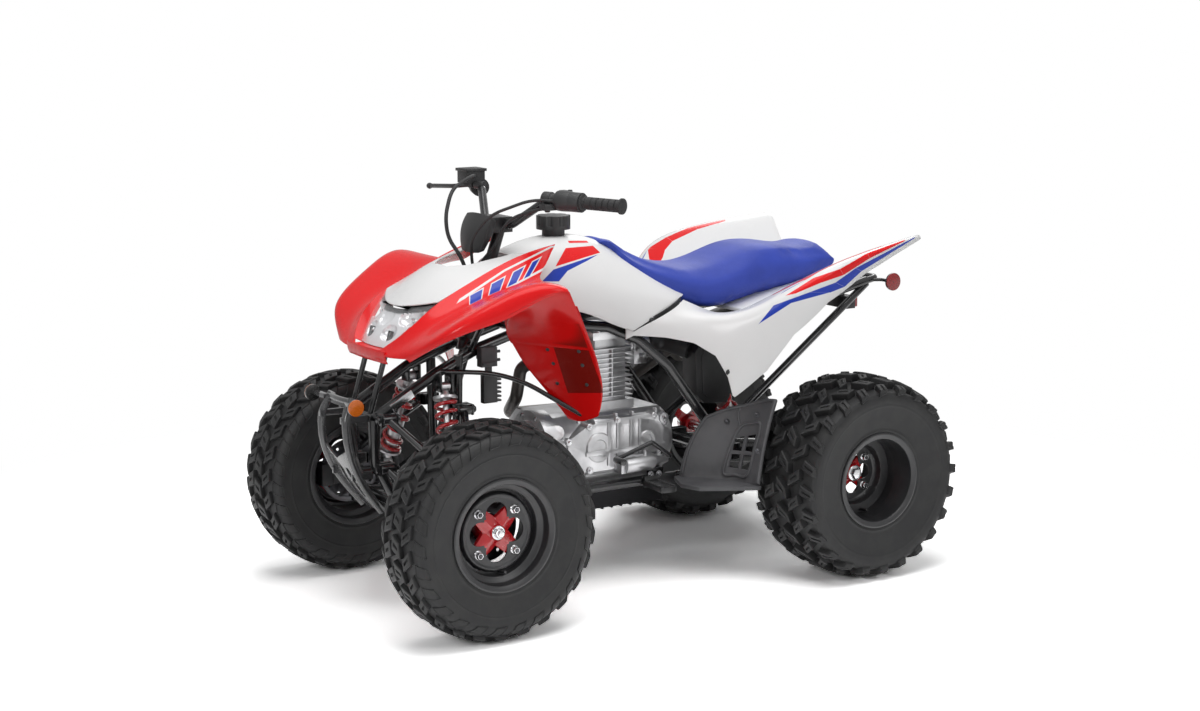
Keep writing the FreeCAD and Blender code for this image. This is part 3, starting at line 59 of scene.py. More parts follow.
view = {"place": (4.924, -3.189, 1.625), "heading": 57.26, "tilt": 10.05, "lens": 66.31}
# the fixed point that the painted outlines are laid on from, and the picture that their corners are given in
stencil = {"place": (4.924, -3.189, 1.625), "heading": 57.26, "tilt": 10.05, "lens": 66.31, "width": 1200, "high": 711}
sensorWidth, farClip = 36, 60
# sky for surfaces and for reflections, half width of the floor, where it turns from lit to plain white, its gain,
# and the lamps as name, place, target, size and power
studio = {"world": 0.2, "mirrored": 0.6, "floor": 9.0, "fade": (1.25, 2.3), "gain": 2.2,
          "lamps": [("overhead", (0.5, -0.3, 3.6), (0, 0, 0.4), 3.4, 80),
                    ("side", (4.4, 1.2, 2.8), (0, 0.2, 0.5), 2.0, 38),
                    ("front", (2.4, -4.2, 2.4), (0, -0.3, 0.5), 1.6, 44),
                    ("back", (-3.0, 3.0, 3.0), (0, 0, 0.6), 2.0, 26)]}


def lensAxes(v):  # back, right and up of a lens from its heading and tilt
    heading, tilt = np.radians(v["heading"]), np.radians(v["tilt"])
    back = Vector((np.sin(heading) * np.cos(tilt), -np.cos(heading) * np.cos(tilt), np.sin(tilt)))
    right = Vector((np.cos(heading), np.sin(heading), 0))
    return back, right, back.cross(right)


def addObject(name, data):
    made = bpy.data.objects.new(name, data)
    bpy.context.scene.collection.objects.link(made)
    return made


def addCamera(v):
    back, right, rise = lensAxes(v)
    data = bpy.data.cameras.new("photoCamera")
    data.lens = v["lens"]
    data.sensor_width = sensorWidth
    data.clip_end = farClip
    camera = addObject("photoCamera", data)
    camera.matrix_world = Matrix.Translation(v["place"]) @ Matrix((right, rise, back)).transposed().to_4x4()
    bpy.context.scene.camera = camera


# a value on its way to the shader, so that patterns can be written as sums
class Reading:
    def __init__(self, paint, socket):
        self.paint = paint
        self.socket = socket

    def math(self, operation, *others, swap=False):
        terms = [others[0], self] if swap else [self, *others]
        return self.paint.node("Math", {"operation": operation}, dict(enumerate(terms)))

    def __add__(self, other): return self.math("ADD", other)
    def __sub__(self, other): return self.math("SUBTRACT", other)
    def __mul__(self, other): return self.math("MULTIPLY", other)
    def __truediv__(self, other): return self.math("DIVIDE", other)
    def __rsub__(self, other): return self.math("SUBTRACT", other, swap=True)
    def __radd__(self, other): return self.math("ADD", other)
    def __rmul__(self, other): return self.math("MULTIPLY", other)
    def __abs__(self): return self.math("ABSOLUTE")

    def rise(self, low, high):  # 0 below low, 1 above high, smooth between
        return self.paint.node("MapRange", {"interpolation_type": "SMOOTHSTEP"},
                               {"Value": self, "From Min": low, "From Max": high})


class Paint:
    def __init__(self, name, **fixed):
        self.material = bpy.data.materials.new(name)
        self.material.use_nodes = True
        self.tree = self.material.node_tree
        self.shader = self.tree.nodes["Principled BSDF"]
        for key, value in fixed.items():
            self.shader.inputs[key.replace("_", " ")].default_value = value

    def feed(self, socket, value):
        if isinstance(value, Reading):
            self.tree.links.new(value.socket, socket)
        else:
            socket.default_value = value

    def node(self, kind, settings=None, inputs=None, output=0):
        made = self.tree.nodes.new("ShaderNode" + kind)
        for key, value in (settings or {}).items():
            setattr(made, key, value)
        for key, value in (inputs or {}).items():
            self.feed(made.inputs[key], value)
        return Reading(self, made.outputs[output])

    def spot(self):  # the point of the surface, in metres
        return self.node("TexCoord", output=3)

    def place(self):  # its x, y and z apart
        return [self.node("SeparateXYZ", inputs={0: self.spot()}, output=k) for k in range(3)]

    def noise(self, scale, detail):
        return self.node("TexNoise", inputs={"Vector": self.spot(), "Scale": scale, "Detail": detail})

    def cells(self, scale):  # distance to the edges of small irregular cells
        return self.node("TexVoronoi", {"feature": "DISTANCE_TO_EDGE"}, {"Vector": self.spot(), "Scale": scale})

    def stencilPoint(self, side):  # where each point lies in the stencil's picture, folded to its left or right half
        x, y, z = self.place()
        folded = self.node("CombineXYZ", inputs={0: abs(x) * side, 1: y, 2: z})
        offset = self.node("VectorMath", {"operation": "SUBTRACT"}, {0: folded, 1: stencil["place"]})
        back, right, rise = lensAxes(stencil)
        scale = stencil["lens"] / sensorWidth * stencil["width"]
        depth = self.dot(offset, -back)
        across = self.dot(offset, right) / depth * scale + stencil["width"] / 2
        down = stencil["high"] / 2 - self.dot(offset, rise) / depth * scale
        return self.node("CombineXYZ", inputs={0: across, 1: down, 2: 1.0})

    def outward(self, side=1):  # 1 on faces that look away from the middle plane, or up and towards it
        normal = self.node("TexCoord", output=1)
        across, up = [self.node("SeparateXYZ", inputs={0: normal}, output=k) for k in (0, 2)]
        level = -0.45 if side > 0 else 0.15
        return (across * self.place()[0].math("SIGN") * side).rise(0.04, 0.16) * up.rise(level - 0.05, level + 0.05)

    def dot(self, vector, fixed):
        return self.node("VectorMath", {"operation": "DOT_PRODUCT"}, {0: vector, 1: tuple(map(float, fixed))}, output=1)

    def patch(self, point, corners, grow):  # 1 inside a convex outline: the least distance to its edges
        corners = np.asarray(corners, float)
        edge = np.roll(corners, -1, axis=0) - corners
        turn = np.sign(np.sum(edge[:, 0] * np.roll(edge[:, 1], -1) - edge[:, 1] * np.roll(edge[:, 0], -1)))
        nearest = None
        for (ex, ey), (cx, cy) in zip(edge, corners):
            length = np.hypot(ex, ey) * turn
            distance = self.dot(point, (-ey / length, ex / length, (ey * cx - ex * cy) / length))
            nearest = distance if nearest is None else nearest.math("MINIMUM", distance)
        return nearest.rise(-0.25 - grow, 0.25 - grow)

    def patches(self, point, outlines, grow):  # 1 inside any of the outlines
        total = None
        for corners in outlines:
            mask = self.patch(point, corners, grow)
            total = mask if total is None else total.math("MAXIMUM", mask)
        return total

    def blend(self, mask, under, over):
        return self.node("Mix", {"data_type": "RGBA"}, {0: mask, 6: under, 7: over}, output=2)

    def bump(self, height, strength, distance):
        return self.node("Bump", inputs={"Height": height, "Strength": strength, "Distance": distance})

    def wear(self, **sockets):
        for key, value in sockets.items():
            self.feed(self.shader.inputs[key.replace("_", " ")], value)
        return self.material


def rgb(r, g, b):
    return (r, g, b, 1.0)


def grey(level):
    return rgb(level, level, level)


# colour, shade of the mottling, roughness, metal, coat, grain size per metre, grain height in metres
finishes = {
    "blackPaint": (rgb(0.012, 0.012, 0.013), rgb(0.018, 0.018, 0.02), 0.24, 0.0, 0.3, 260, 0.00003),
    "satinBlack": (rgb(0.013, 0.013, 0.014), rgb(0.02, 0.02, 0.021), 0.4, 0.0, 0.0, 420, 0.00004),
    "redPaint": (rgb(0.6, 0.01, 0.016), rgb(0.5, 0.006, 0.01), 0.26, 0.0, 0.8, 180, 0.00002),
    "castAlloy": (rgb(0.56, 0.56, 0.57), rgb(0.36, 0.36, 0.37), 0.36, 0.95, 0.0, 900, 0.00022),
    "finAlloy": (rgb(0.6, 0.6, 0.61), rgb(0.42, 0.42, 0.43), 0.3, 0.95, 0.0, 700, 0.00008),
    "groundSteel": (rgb(0.52, 0.52, 0.53), rgb(0.4, 0.4, 0.41), 0.26, 1.0, 0.0, 1500, 0.00003),
    "brightSteel": (rgb(0.62, 0.62, 0.63), rgb(0.5, 0.5, 0.52), 0.2, 1.0, 0.0, 400, 0.00001),
    "darkPipe": (rgb(0.1, 0.095, 0.09), rgb(0.06, 0.055, 0.05), 0.38, 0.8, 0.0, 220, 0.00006),
    "greyMould": (rgb(0.085, 0.085, 0.09), rgb(0.06, 0.06, 0.064), 0.52, 0.0, 0.0, 1600, 0.00012),
    "blackMould": (rgb(0.02, 0.02, 0.021), rgb(0.032, 0.032, 0.033), 0.48, 0.0, 0.0, 1700, 0.0001),
    "tailLens": (rgb(0.4, 0.008, 0.01), rgb(0.3, 0.004, 0.006), 0.16, 0.0, 1.0, 300, 0.00002),
    "bumperGloss": (rgb(0.045, 0.045, 0.047), rgb(0.06, 0.06, 0.063), 0.26, 0.0, 0.7, 500, 0.00003),
    "darkSteel": (rgb(0.13, 0.13, 0.14), rgb(0.09, 0.09, 0.095), 0.34, 0.9, 0.0, 900, 0.00004),
    "gripRubber": (rgb(0.016, 0.016, 0.017), rgb(0.026, 0.026, 0.027), 0.62, 0.0, 0.0, 1300, 0.0001),
}
finishes["caseAlloy"] = finishes["castAlloy"]
paints = {}
frameRailTop = 0.252


# broad patches of two tones under a fine grain; wear is how much grain and patches change the roughness
def grainyPaint(name, colour, shade, rough, height, grain, cloud=14, spread=(0.35, 0.75), wear=(0.1, 0.08),
                strength=0.5, **fixed):
    paint = Paint(name, **fixed)
    patchy, fine = paint.noise(cloud, 4.0), paint.noise(*grain)
    tone = paint.blend(patchy.rise(*spread), colour, shade)
    if name == "caseAlloy":  # below the top of the frame rails the case is coloured near black
        sump = paint.place()[2].rise(frameRailTop - 0.008, frameRailTop)
        tone = paint.blend(sump, rgb(0.012, 0.012, 0.013), tone)
    paint.wear(Base_Color=tone, Roughness=fine * wear[0] + patchy * wear[1] + rough,
               Normal=paint.bump(fine, strength, height))
    paints[name] = paint.material


for finishName, (colour, shade, rough, metal, coat, grainScale, height) in finishes.items():
    grainyPaint(finishName, colour, shade, rough - 0.09, height, (grainScale, 3.0), Metallic=metal, Coat_Weight=coat,
                Coat_Roughness=0.06)
grainyPaint("tyreRubber", rgb(0.019, 0.019, 0.02), grey(0.027), 0.42, 0.00012, (1400, 2.0), 22, (0.35, 0.7),
            (0.14, 0.1), 0.6, Specular_IOR_Level=0.35)
grainyPaint("rimBlack", rgb(0.02, 0.02, 0.022), rgb(0.03, 0.03, 0.032), 0.3, 0.00004, (800, 3.0), 18, (0.4, 0.75),
            (0.08, 0.1), 0.35, Metallic=0.1, Coat_Weight=0.25, Coat_Roughness=0.3)


def reflectorPaint(name, colour):  # a pressed prism pattern on the outer face, black case behind
    paint = Paint(name, Coat_Weight=0.6)
    front = paint.outward()
    cells = paint.cells(320.0)
    shade = tuple(0.6 * c for c in colour[:3]) + (1.0,)
    paint.wear(Base_Color=paint.blend(front, grey(0.02), paint.blend(cells.rise(0.0, 0.12), shade, colour)),
               Roughness=cells * 0.2 + 0.22, Normal=paint.bump(cells, 0.4, 0.0008))
    return paint.material


paints["amberLens"] = reflectorPaint("amberLens", rgb(0.72, 0.16, 0.012))
paints["rubyLens"] = reflectorPaint("rubyLens", rgb(0.36, 0.006, 0.008))


def quadGrid(rows, columns, wrapRows=False, wrapColumns=False):  # four-sided faces between the lines of a net
    r = np.arange(rows if wrapRows else rows - 1)
    c = np.arange(columns if wrapColumns else columns - 1)
    i, j = np.meshgrid(r, c, indexing="ij")
    i2, j2 = (i + 1) % rows, (j + 1) % columns
    return np.stack([i * columns + j, i * columns + j2, i2 * columns + j2, i2 * columns + j], -1).reshape(-1, 4)


def joined(parts):  # several (points, faces) as one
    points, faces, count = [], [], 0
    for p, f in parts:
        p = p.reshape(-1, 3)
        points.append(p)
        faces += [[int(k) + count for k in face] for face in f]
        count += len(p)
    return np.concatenate(points), faces


def mirrorX(part):  # x negated, and the faces turned round so that they look outwards again
    points, faces = part
    return points.reshape(-1, 3) * (-1, 1, 1), [list(face)[::-1] for face in faces]


def bothSides(parts):
    return joined(parts + [mirrorX(part) for part in parts])


edgeAngle, copySharp, flatAngle = 40, 32, 1.0  # degrees


def weld(mesh, gap, flatten=False, turnOut=False):  # merge close points, melt flat seams, turn the faces outwards
    work = bmesh.new()
    work.from_mesh(mesh)
    bmesh.ops.remove_doubles(work, verts=work.verts, dist=gap)
    if flatten:
        bmesh.ops.dissolve_limit(work, angle_limit=np.radians(flatAngle), verts=work.verts, edges=work.edges)
    if turnOut:
        bmesh.ops.recalc_face_normals(work, faces=work.faces)
    work.to_mesh(mesh)
    work.free()


def gridPart(points):  # a net of points as one sheet
    return points, quadGrid(*points.shape[:2]).tolist()


def putMesh(name, part, finish, slot, replaced=(), body="chassis", sharp=38, wall=0.0, bevel=0.0, tidy=False):
    points, faces = part
    mesh = bpy.data.meshes.new(name)
    mesh.from_pydata(np.asarray(points).reshape(-1, 3).tolist(), [], [list(map(int, f)) for f in faces])
    mesh.update()
    if tidy:
        weld(mesh, 0.00002, turnOut=True)
    return finishPiece(addObject(name, mesh), finish, body, replaced, sharp, wall, bevel)


# wall, rounded edges and smoothing worked into the mesh, then finish, body and replaced nodes
def finishPiece(piece, finish, body, replaced, sharp, wall=0.0, bevel=0.0, smooth=0):
    if wall:
        shell = piece.modifiers.new("wall", "SOLIDIFY")
        shell.thickness = wall
        shell.offset = -1
        shell.use_even_offset = True
        shell.use_quality_normals = True
    if bevel:
        edge = piece.modifiers.new("edge", "BEVEL")
        edge.width = bevel
        edge.segments = 2
        edge.limit_method = "ANGLE"
        edge.angle_limit = np.radians(edgeAngle)
    if smooth:
        layers = piece.modifiers.new("smooth", "SUBSURF")
        layers.levels = smooth
        layers.render_levels = smooth
    if piece.modifiers:
        bpy.context.view_layer.update()
        graph = bpy.context.evaluated_depsgraph_get()
        final = bpy.data.meshes.new_from_object(piece.evaluated_get(graph))
        piece.modifiers.clear()
        piece.data = final
    piece.data.polygons.foreach_set("use_smooth", np.ones(len(piece.data.polygons), bool))
    piece.data.set_sharp_from_angle(angle=np.radians(sharp))
    piece.data.materials.clear()
    piece.data.materials.append(paints[finish])
    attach(piece, body)
    if replaced:
        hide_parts(*replaced)
    return piece


def smoothCopy(name, node, finish, bevel):  # a CAD node's own mesh, its seams closed and its edges rounded
    piece = addObject(name, nodes[node].data.copy())
    weld(piece.data, 0.000005, flatten=bevel > 0)
    return finishPiece(piece, finish, nodes[node]["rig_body"], (node,), copySharp, bevel=bevel)


def throughPoints(points, count, closed=False):  # smooth curve through points, evenly spread over their spans
    points = np.asarray(points, float)
    if closed:
        padded = np.concatenate([points[-1:], points, points[:2]])
        spans = len(points)
    else:
        padded = np.concatenate([2 * points[:1] - points[1:2], points, 2 * points[-1:] - points[-2:-1]])
        spans = len(points) - 1
    t = np.linspace(0, spans, count, endpoint=not closed)
    k = np.minimum(t.astype(int), spans - 1)
    f = (t - k)[:, None]
    a, b, c, d = padded[k], padded[k + 1], padded[k + 2], padded[k + 3]
    return 0.5 * (2 * b + (c - a) * f + (2 * a - 5 * b + 4 * c - d) * f ** 2 + (3 * b - a - 3 * c + d) * f ** 3)


def roundedPath(corners, bend, arcSteps=10):  # straight runs with every corner replaced by an arc
    corners = np.asarray(corners, float)
    out = [corners[0]]
    for before, corner, after in zip(corners, corners[1:], corners[2:]):
        back = (before - corner) / np.linalg.norm(before - corner)
        ahead = (after - corner) / np.linalg.norm(after - corner)
        half = 0.5 * np.arccos(np.clip(back @ ahead, -1, 1))
        reach = min(bend / np.tan(half), 0.48 * np.linalg.norm(before - corner), 0.48 * np.linalg.norm(after - corner))
        t = np.linspace(0, 1, arcSteps)[:, None]
        start, end = corner + back * reach, corner + ahead * reach
        out.extend((1 - t) ** 2 * start + 2 * t * (1 - t) * corner + t ** 2 * end)
    out.append(corners[-1])
    return np.array(out)


# a circle of the given radius carried along a path, its start direction kept from turning
def tubeAlong(path, radius, sides, closed=False):
    path = np.asarray(path, float)
    ahead = np.gradient(path, axis=0)
    ahead /= np.linalg.norm(ahead, axis=1)[:, None]
    side = np.zeros_like(path)
    side[0] = acrossLine(ahead[0])[0]
    for k in range(1, len(path)):
        turned = side[k - 1] - ahead[k] * (side[k - 1] @ ahead[k])
        side[k] = turned / np.linalg.norm(turned)
    other = np.cross(ahead, side)
    angle = np.linspace(0, 2 * np.pi, sides, endpoint=False)
    size = np.broadcast_to(np.asarray(radius, float), (len(path),))[:, None, None]
    points = path[:, None] + size * (np.cos(angle)[None, :, None] * side[:, None]
                                     + np.sin(angle)[None, :, None] * other[:, None])
    faces = quadGrid(len(path), sides, wrapRows=closed, wrapColumns=True)[:, ::-1].tolist()
    if not closed:
        faces.append(list(range(sides)))
        last = (len(path) - 1) * sides
        faces.append([last + k for k in range(sides)][::-1])
    return points.reshape(-1, 3), faces


# a profile of (x, radius) points turned about an axis along X through the centre
def lathe(profile, centre, segments):
    x, radius = np.asarray(profile, float).T
    angle = np.linspace(0, 2 * np.pi, segments, endpoint=False)[:, None]
    points = np.stack([np.broadcast_to(x, (segments, len(x))), np.cos(angle) * radius, np.sin(angle) * radius], -1)
    return (points + centre).reshape(-1, 3), quadGrid(segments, len(x), wrapRows=True, wrapColumns=True)


# weights of clamped, evenly knotted spline poles at the parameters t in 0..1
def poleWeights(count, degree, t):
    knots = np.concatenate([np.zeros(degree), np.linspace(0, 1, count - degree + 1), np.ones(degree)])
    t = np.clip(np.asarray(t, float), 0, 1 - 1e-9)[..., None]
    weights = ((t >= knots[:-1]) & (t < knots[1:])).astype(float)
    for d in range(1, degree + 1):
        n = len(knots) - 1 - d
        left, right = knots[d:d + n] - knots[:n], knots[d + 1:d + 1 + n] - knots[1:1 + n]
        rising = np.where(left > 0, (t - knots[:n]) / np.where(left > 0, left, 1), 0)
        falling = np.where(right > 0, (knots[d + 1:d + 1 + n] - t) / np.where(right > 0, right, 1), 0)
        weights = rising * weights[..., :n] + falling * weights[..., 1:n + 1]
    return weights


fineSteps = 400


# a smooth sheet on a net of poles in millimetres; keep(points) above 0 is what stays of every row
def netSheet(net, rows, columns, keep=None, start=0.0, degrees=(3, 2)):
    net = np.asarray(net, float) * 0.001
    u = poleWeights(net.shape[0], degrees[0], np.linspace(start, 1, rows))
    ribs = np.einsum("ri,ijk->rjk", u, net)
    v = np.broadcast_to(np.linspace(0, 1, columns), (rows, columns))
    if keep is not None:
        fine = np.linspace(0, 1, fineSteps + 1)
        points = np.einsum("sj,rjk->rsk", poleWeights(net.shape[1], degrees[1], fine), ribs)
        inside = keep(points)
        good = inside > 0
        first, last = good.argmax(1), fineSteps - good[:, ::-1].argmax(1)
        row = np.arange(rows)
        before, after = np.maximum(first - 1, 0), np.minimum(last + 1, fineSteps)
        there, low, high = inside[row, first], fine[first], fine[last]
        low = low - np.where(first > 0, there / (there - inside[row, before] + 1e-12), 0) / fineSteps
        there = inside[row, last]
        high = high + np.where(last < fineSteps, there / (there - inside[row, after] + 1e-12), 0) / fineSteps
        v = low[:, None] + (high - low)[:, None] * np.linspace(0, 1, columns)[None]
    points = np.einsum("rcj,rjk->rck", poleWeights(net.shape[1], degrees[1], v), ribs)
    return points, quadGrid(rows, columns)


def above(y, z, line):  # height over a broken line of (y, z) points in millimetres
    line = np.asarray(line, float) * 0.001
    return z - np.interp(y, line[:, 0], line[:, 1])


def flipped(part):
    return part[0], [list(face)[::-1] for face in part[1]]


def loft(sections):  # closed sections of equal counts, capped at both ends
    sections = np.asarray(sections, float)
    count = sections.shape[1]
    faces = quadGrid(len(sections), count, wrapColumns=True).tolist()
    faces.append(list(range(count))[::-1])
    last = (len(sections) - 1) * count
    faces.append([last + k for k in range(count)])
    return sections.reshape(-1, 3), faces


def block(low, high):  # a box between two corners, in metres
    low, high = np.asarray(low, float), np.asarray(high, float)
    pick = np.array([[k & 1, k >> 1 & 1, k >> 2 & 1] for k in range(8)])
    faces = [[0, 2, 3, 1], [4, 5, 7, 6], [0, 1, 5, 4], [2, 6, 7, 3], [0, 4, 6, 2], [1, 3, 7, 5]]
    return low + pick * (high - low), faces


def spun(part, count, first, centre):  # copies round the X axis, then moved to a centre
    out = []
    for angle in first + np.linspace(0, 2 * np.pi, count, endpoint=False):
        turn = np.array([[1, 0, 0], [0, np.cos(angle), -np.sin(angle)], [0, np.sin(angle), np.cos(angle)]])
        out.append((part[0] @ turn.T + centre, part[1]))
    return joined(out)


def acrossLine(ahead):  # two directions square to a line and to each other
    side = np.cross(ahead, (0.31, 0.17, 0.93))
    side /= np.linalg.norm(side)
    return side, np.cross(ahead, side)


def turnedAlong(start, end, profile, segments=40):  # (distance, radius) points turned about any line
    start, end = np.asarray(start, float), np.asarray(end, float)
    ahead = (end - start) / np.linalg.norm(end - start)
    side, other = acrossLine(ahead)
    profile = np.asarray(profile, float)
    angle = np.linspace(0, 2 * np.pi, segments, endpoint=False)[:, None]
    out = (start + profile[None, :, :1] * ahead
           + profile[None, :, 1:] * (np.cos(angle)[..., None] * side + np.sin(angle)[..., None] * other))
    return out.reshape(-1, 3), quadGrid(segments, len(profile), wrapRows=True)


def bar(start, end, radius, sides):  # a round bar with softly turned ends
    length = np.linalg.norm(np.subtract(end, start))
    soft = min(0.0012, 0.3 * radius)
    return turnedAlong(start, end, [(0, 0), (0, radius - soft), (soft, radius), (length - soft, radius),
                                    (length, radius - soft), (length, 0)], sides)


def turned(start, end, profile, segments=40):  # turnedAlong in millimetres
    return turnedAlong(*mm(start, end), np.asarray(profile, float) * 0.001, segments)


def mm(*points):
    return [np.asarray(p, float) * 0.001 for p in points]


pipeSides, rodSides = 20, 24


def pipe(points, radius, bend):  # a tube along straight runs joined by arcs, in millimetres
    return tubeAlong(roundedPath(mm(*points), bend * 0.001), radius * 0.001, pipeSides)


def rod(start, end, radius, sides=rodSides):  # bar in millimetres
    return bar(*mm(start, end), radius * 0.001, sides)


def box(low, high):  # block in millimetres
    return block(*mm(low, high))


def onNet(name, u, v):  # a point of one of the sheets below, in metres
    net = np.asarray(nets[name], float) * 0.001
    return np.einsum("...i,...j,ijk->...k", poleWeights(net.shape[0], 3, u), poleWeights(net.shape[1], 2, v), net)


wheelRadius, lugRadius = 0.272, 0.26
wheels = {
    "front": {"centre": (0.394, -0.594, wheelRadius), "half": 0.089, "bead": 0.127, "beadHalf": 0.072, "base": 0.259,
              "lug": 0.012, "count": 26, "ring": 0.2},
    "rear": {"centre": (0.404, 0.534, wheelRadius), "half": 0.124, "bead": 0.1143, "beadHalf": 0.102, "base": 0.252,
             "lug": 0.02, "count": 24, "ring": 0.204}}
# each row of lugs: distance from the crown, half length, half width, skew, pitch offset, share of the full height
lugRows = {
    "front": [(0.02, 0.0165, 0.018, 0.008, 0.0, 1.0), (0.055, 0.0125, 0.0165, -0.011, 0.5, 0.9),
              (0.088, 0.015, 0.017, 0.009, 0.02, 0.34)],
    "rear": [(0.024, 0.02, 0.013, 0.013, 0.0, 1.0), (0.067, 0.017, 0.013, -0.012, 0.5, 0.98),
             (0.106, 0.018, 0.013, 0.008, 0.04, 0.72)]}


# half a tyre's section as (x, radius) with its outward normals, by distance from the crown
def tyreSection(w):
    half, base = w["half"], w["base"]
    seat = w["bead"] + 0.014
    outline = [(0, base), (0.35 * half, base - 0.001), (0.72 * half, base - 0.008), (0.93 * half, 0.875 * wheelRadius),
               (0.97 * half, 0.8 * wheelRadius), (0.9 * half, 0.66 * wheelRadius), (w["beadHalf"], seat)]
    line = throughPoints(outline, fineSteps)
    step = np.gradient(line, axis=0)
    normal = np.stack([-step[:, 1], step[:, 0]], -1)
    normal /= np.linalg.norm(normal, axis=1)[:, None]
    span = np.concatenate([[0], np.cumsum(np.linalg.norm(np.diff(line, axis=0), axis=1))])
    return line, normal, span


treadLines, wallLines, tyreSteps = 14, 40, 140


# the section turned round the axle, with two raised rings on each side wall
def tyreCarcass(w):
    line, normal, span = tyreSection(w)
    seat = w["bead"] + 0.014
    at = span[-1] * np.concatenate([np.linspace(0, 0.55, treadLines), np.linspace(0.57, 1, wallLines)])
    x, r = np.interp(at, span, line[:, 0]), np.interp(at, span, line[:, 1])
    nx, nr = np.interp(at, span, normal[:, 0]), np.interp(at, span, normal[:, 1])
    raised = 0.0012 * np.exp(-((r - w["ring"]) / 0.0016) ** 2) + 0.0016 * np.exp(-((r - seat - 0.008) / 0.003) ** 2)
    raised *= (at > span[-1] * 0.5)
    side = np.stack([x + nx * raised, r + nr * raised], -1)
    rim = [(w["beadHalf"], w["bead"] + 0.004), (w["beadHalf"] - 0.003, w["bead"] + 0.0005)]
    outer = np.concatenate([side, rim])
    profile = np.concatenate([outer[::-1], outer[1:] * (-1, 1)])
    return lathe(profile, w["centre"], tyreSteps)


# a block on the carcass with a slot along its middle: heights on a grid of ten by ten lines
def tyreLugs(w, rows):
    line, normal, span = tyreSection(w)
    p = np.array([-1.05, -1, -0.91, -0.62, -0.52, 0.52, 0.62, 0.91, 1, 1.05])
    q = np.array([-1.08, -1, -0.86, -0.26, -0.13, 0.13, 0.26, 0.86, 1, 1.08])
    inset = np.minimum(np.arange(len(p)), np.arange(len(p))[::-1])
    edge = np.minimum(inset[:, None], inset[None])
    parts, faces = [], quadGrid(len(p), len(q))
    for fromCrown, longHalf, wideHalf, skew, offset, share in rows:
        height = w["lug"] * share
        top = np.where(edge == 0, -0.002, np.where(edge == 1, height - 0.0016, height))
        hollow = 0.0002 if share < 0.5 else height - 0.0045  # the lowest row is an outline, the others have a slot
        top = np.where(edge >= (2 if share < 0.5 else 4), hollow, top)
        s = fromCrown + longHalf * p[:, None] * (1 + 0.1 * q[None])
        around = (wideHalf * q[None] + skew * p[:, None]) / lugRadius
        x, r = np.interp(s, span, line[:, 0]), np.interp(s, span, line[:, 1])
        nx, nr = np.interp(s, span, normal[:, 0]), np.interp(s, span, normal[:, 1])
        reach, out = np.minimum(r + nr * top, wheelRadius), np.minimum(x + nx * top, w["half"] * 0.998)
        for side in (1, -1):
            for k in range(w["count"]):
                turn = (k + offset + (0.25 if side < 0 else 0)) * 2 * np.pi / w["count"] + around
                grid = np.stack([side * out, np.cos(turn) * reach, np.sin(turn) * reach], -1)
                parts.append((grid.reshape(-1, 3) + w["centre"], (faces if side > 0 else faces[:, ::-1]).tolist()))
    return joined(parts)


for end, w in wheels.items():
    tyre = joined([tyreCarcass(w), tyreLugs(w, lugRows[end])])
    bodies = ("wheel_front_left", "wheel_front_right") if end == "front" else ("rear_wheels", "rear_wheels")
    putMesh(end + "TyreLeft", tyre, "tyreRubber", "tyre", (end + "_tyre_left",), bodies[0], sharp=30)
    putMesh(end + "TyreRight", mirrorX(tyre), "tyreRubber", "tyre", (end + "_tyre_right",), bodies[1], sharp=30)
print("tyres made")


# the opening between the nuts: distance to the nearer of a middle circle and four lobes round it
def cloverRadius(angle, lobe, lobeAt, middle):
    a = (angle + np.pi / 4) % (np.pi / 2) - np.pi / 4
    inside = np.maximum(lobe ** 2 - (lobeAt * np.sin(a)) ** 2, 0)
    return np.where(np.abs(lobeAt * np.sin(a)) < lobe, np.maximum(lobeAt * np.cos(a) + np.sqrt(inside), middle), middle)


discSteps, discRings, barrelSteps = 160, 26, 104
plateWall, barrelBend = 0.004, 0.004


# a dished plate: rings from the clover opening out to the barrel, x read from a (radius, x) profile
def rimDisc(profile, clover, outer):
    angle = np.linspace(0, 2 * np.pi, discSteps, endpoint=False)[:, None]
    near = cloverRadius(angle, *clover)
    t = np.concatenate([[0, 0.03], np.linspace(0.1, 1, discRings - 2)])[None]
    r = near + (outer - near) * t
    x = np.interp(r, *np.transpose(profile))
    return np.stack([x, np.cos(angle) * r, np.sin(angle) * r], -1)


def nut(centre, x, radiusAt, size, height, angle):  # washer and hexagon, and the stud apart
    spot = np.add(centre, (x, np.cos(angle) * radiusAt, np.sin(angle) * radiusAt))
    top = spot + (height, 0, 0)
    washer = turnedAlong(spot - (0.002, 0, 0), top, [(0, 0), (0, size * 1.28), (0.002, size * 1.3),
                                                     (0.0045, size * 1.02), (0.0045, 0)], 32)
    hexagon = turnedAlong(spot, top, [(0.001, 0), (0.001, size), (height * 0.8, size), (height, size * 0.84),
                                      (height, size * 0.62), (height - 0.002, size * 0.52), (height - 0.002, 0)], 6)
    stud = turnedAlong(spot, top + (0.004, 0, 0), [(0, 0), (0, size * 0.48), (height + 0.0015, size * 0.48),
                                                    (height + 0.003, size * 0.36), (height + 0.003, 0)], 20)
    return [washer, hexagon], [stud]


# one arm of the hub: sections with a middle ridge that narrow from the boss to the stud
def hubArm(stations):
    return loft(np.array([[(back, wide, r), (front, wide, r), (ridge, 0, r), (front, -wide, r), (back, -wide, r)]
                          for r, wide, back, front, ridge in stations]))


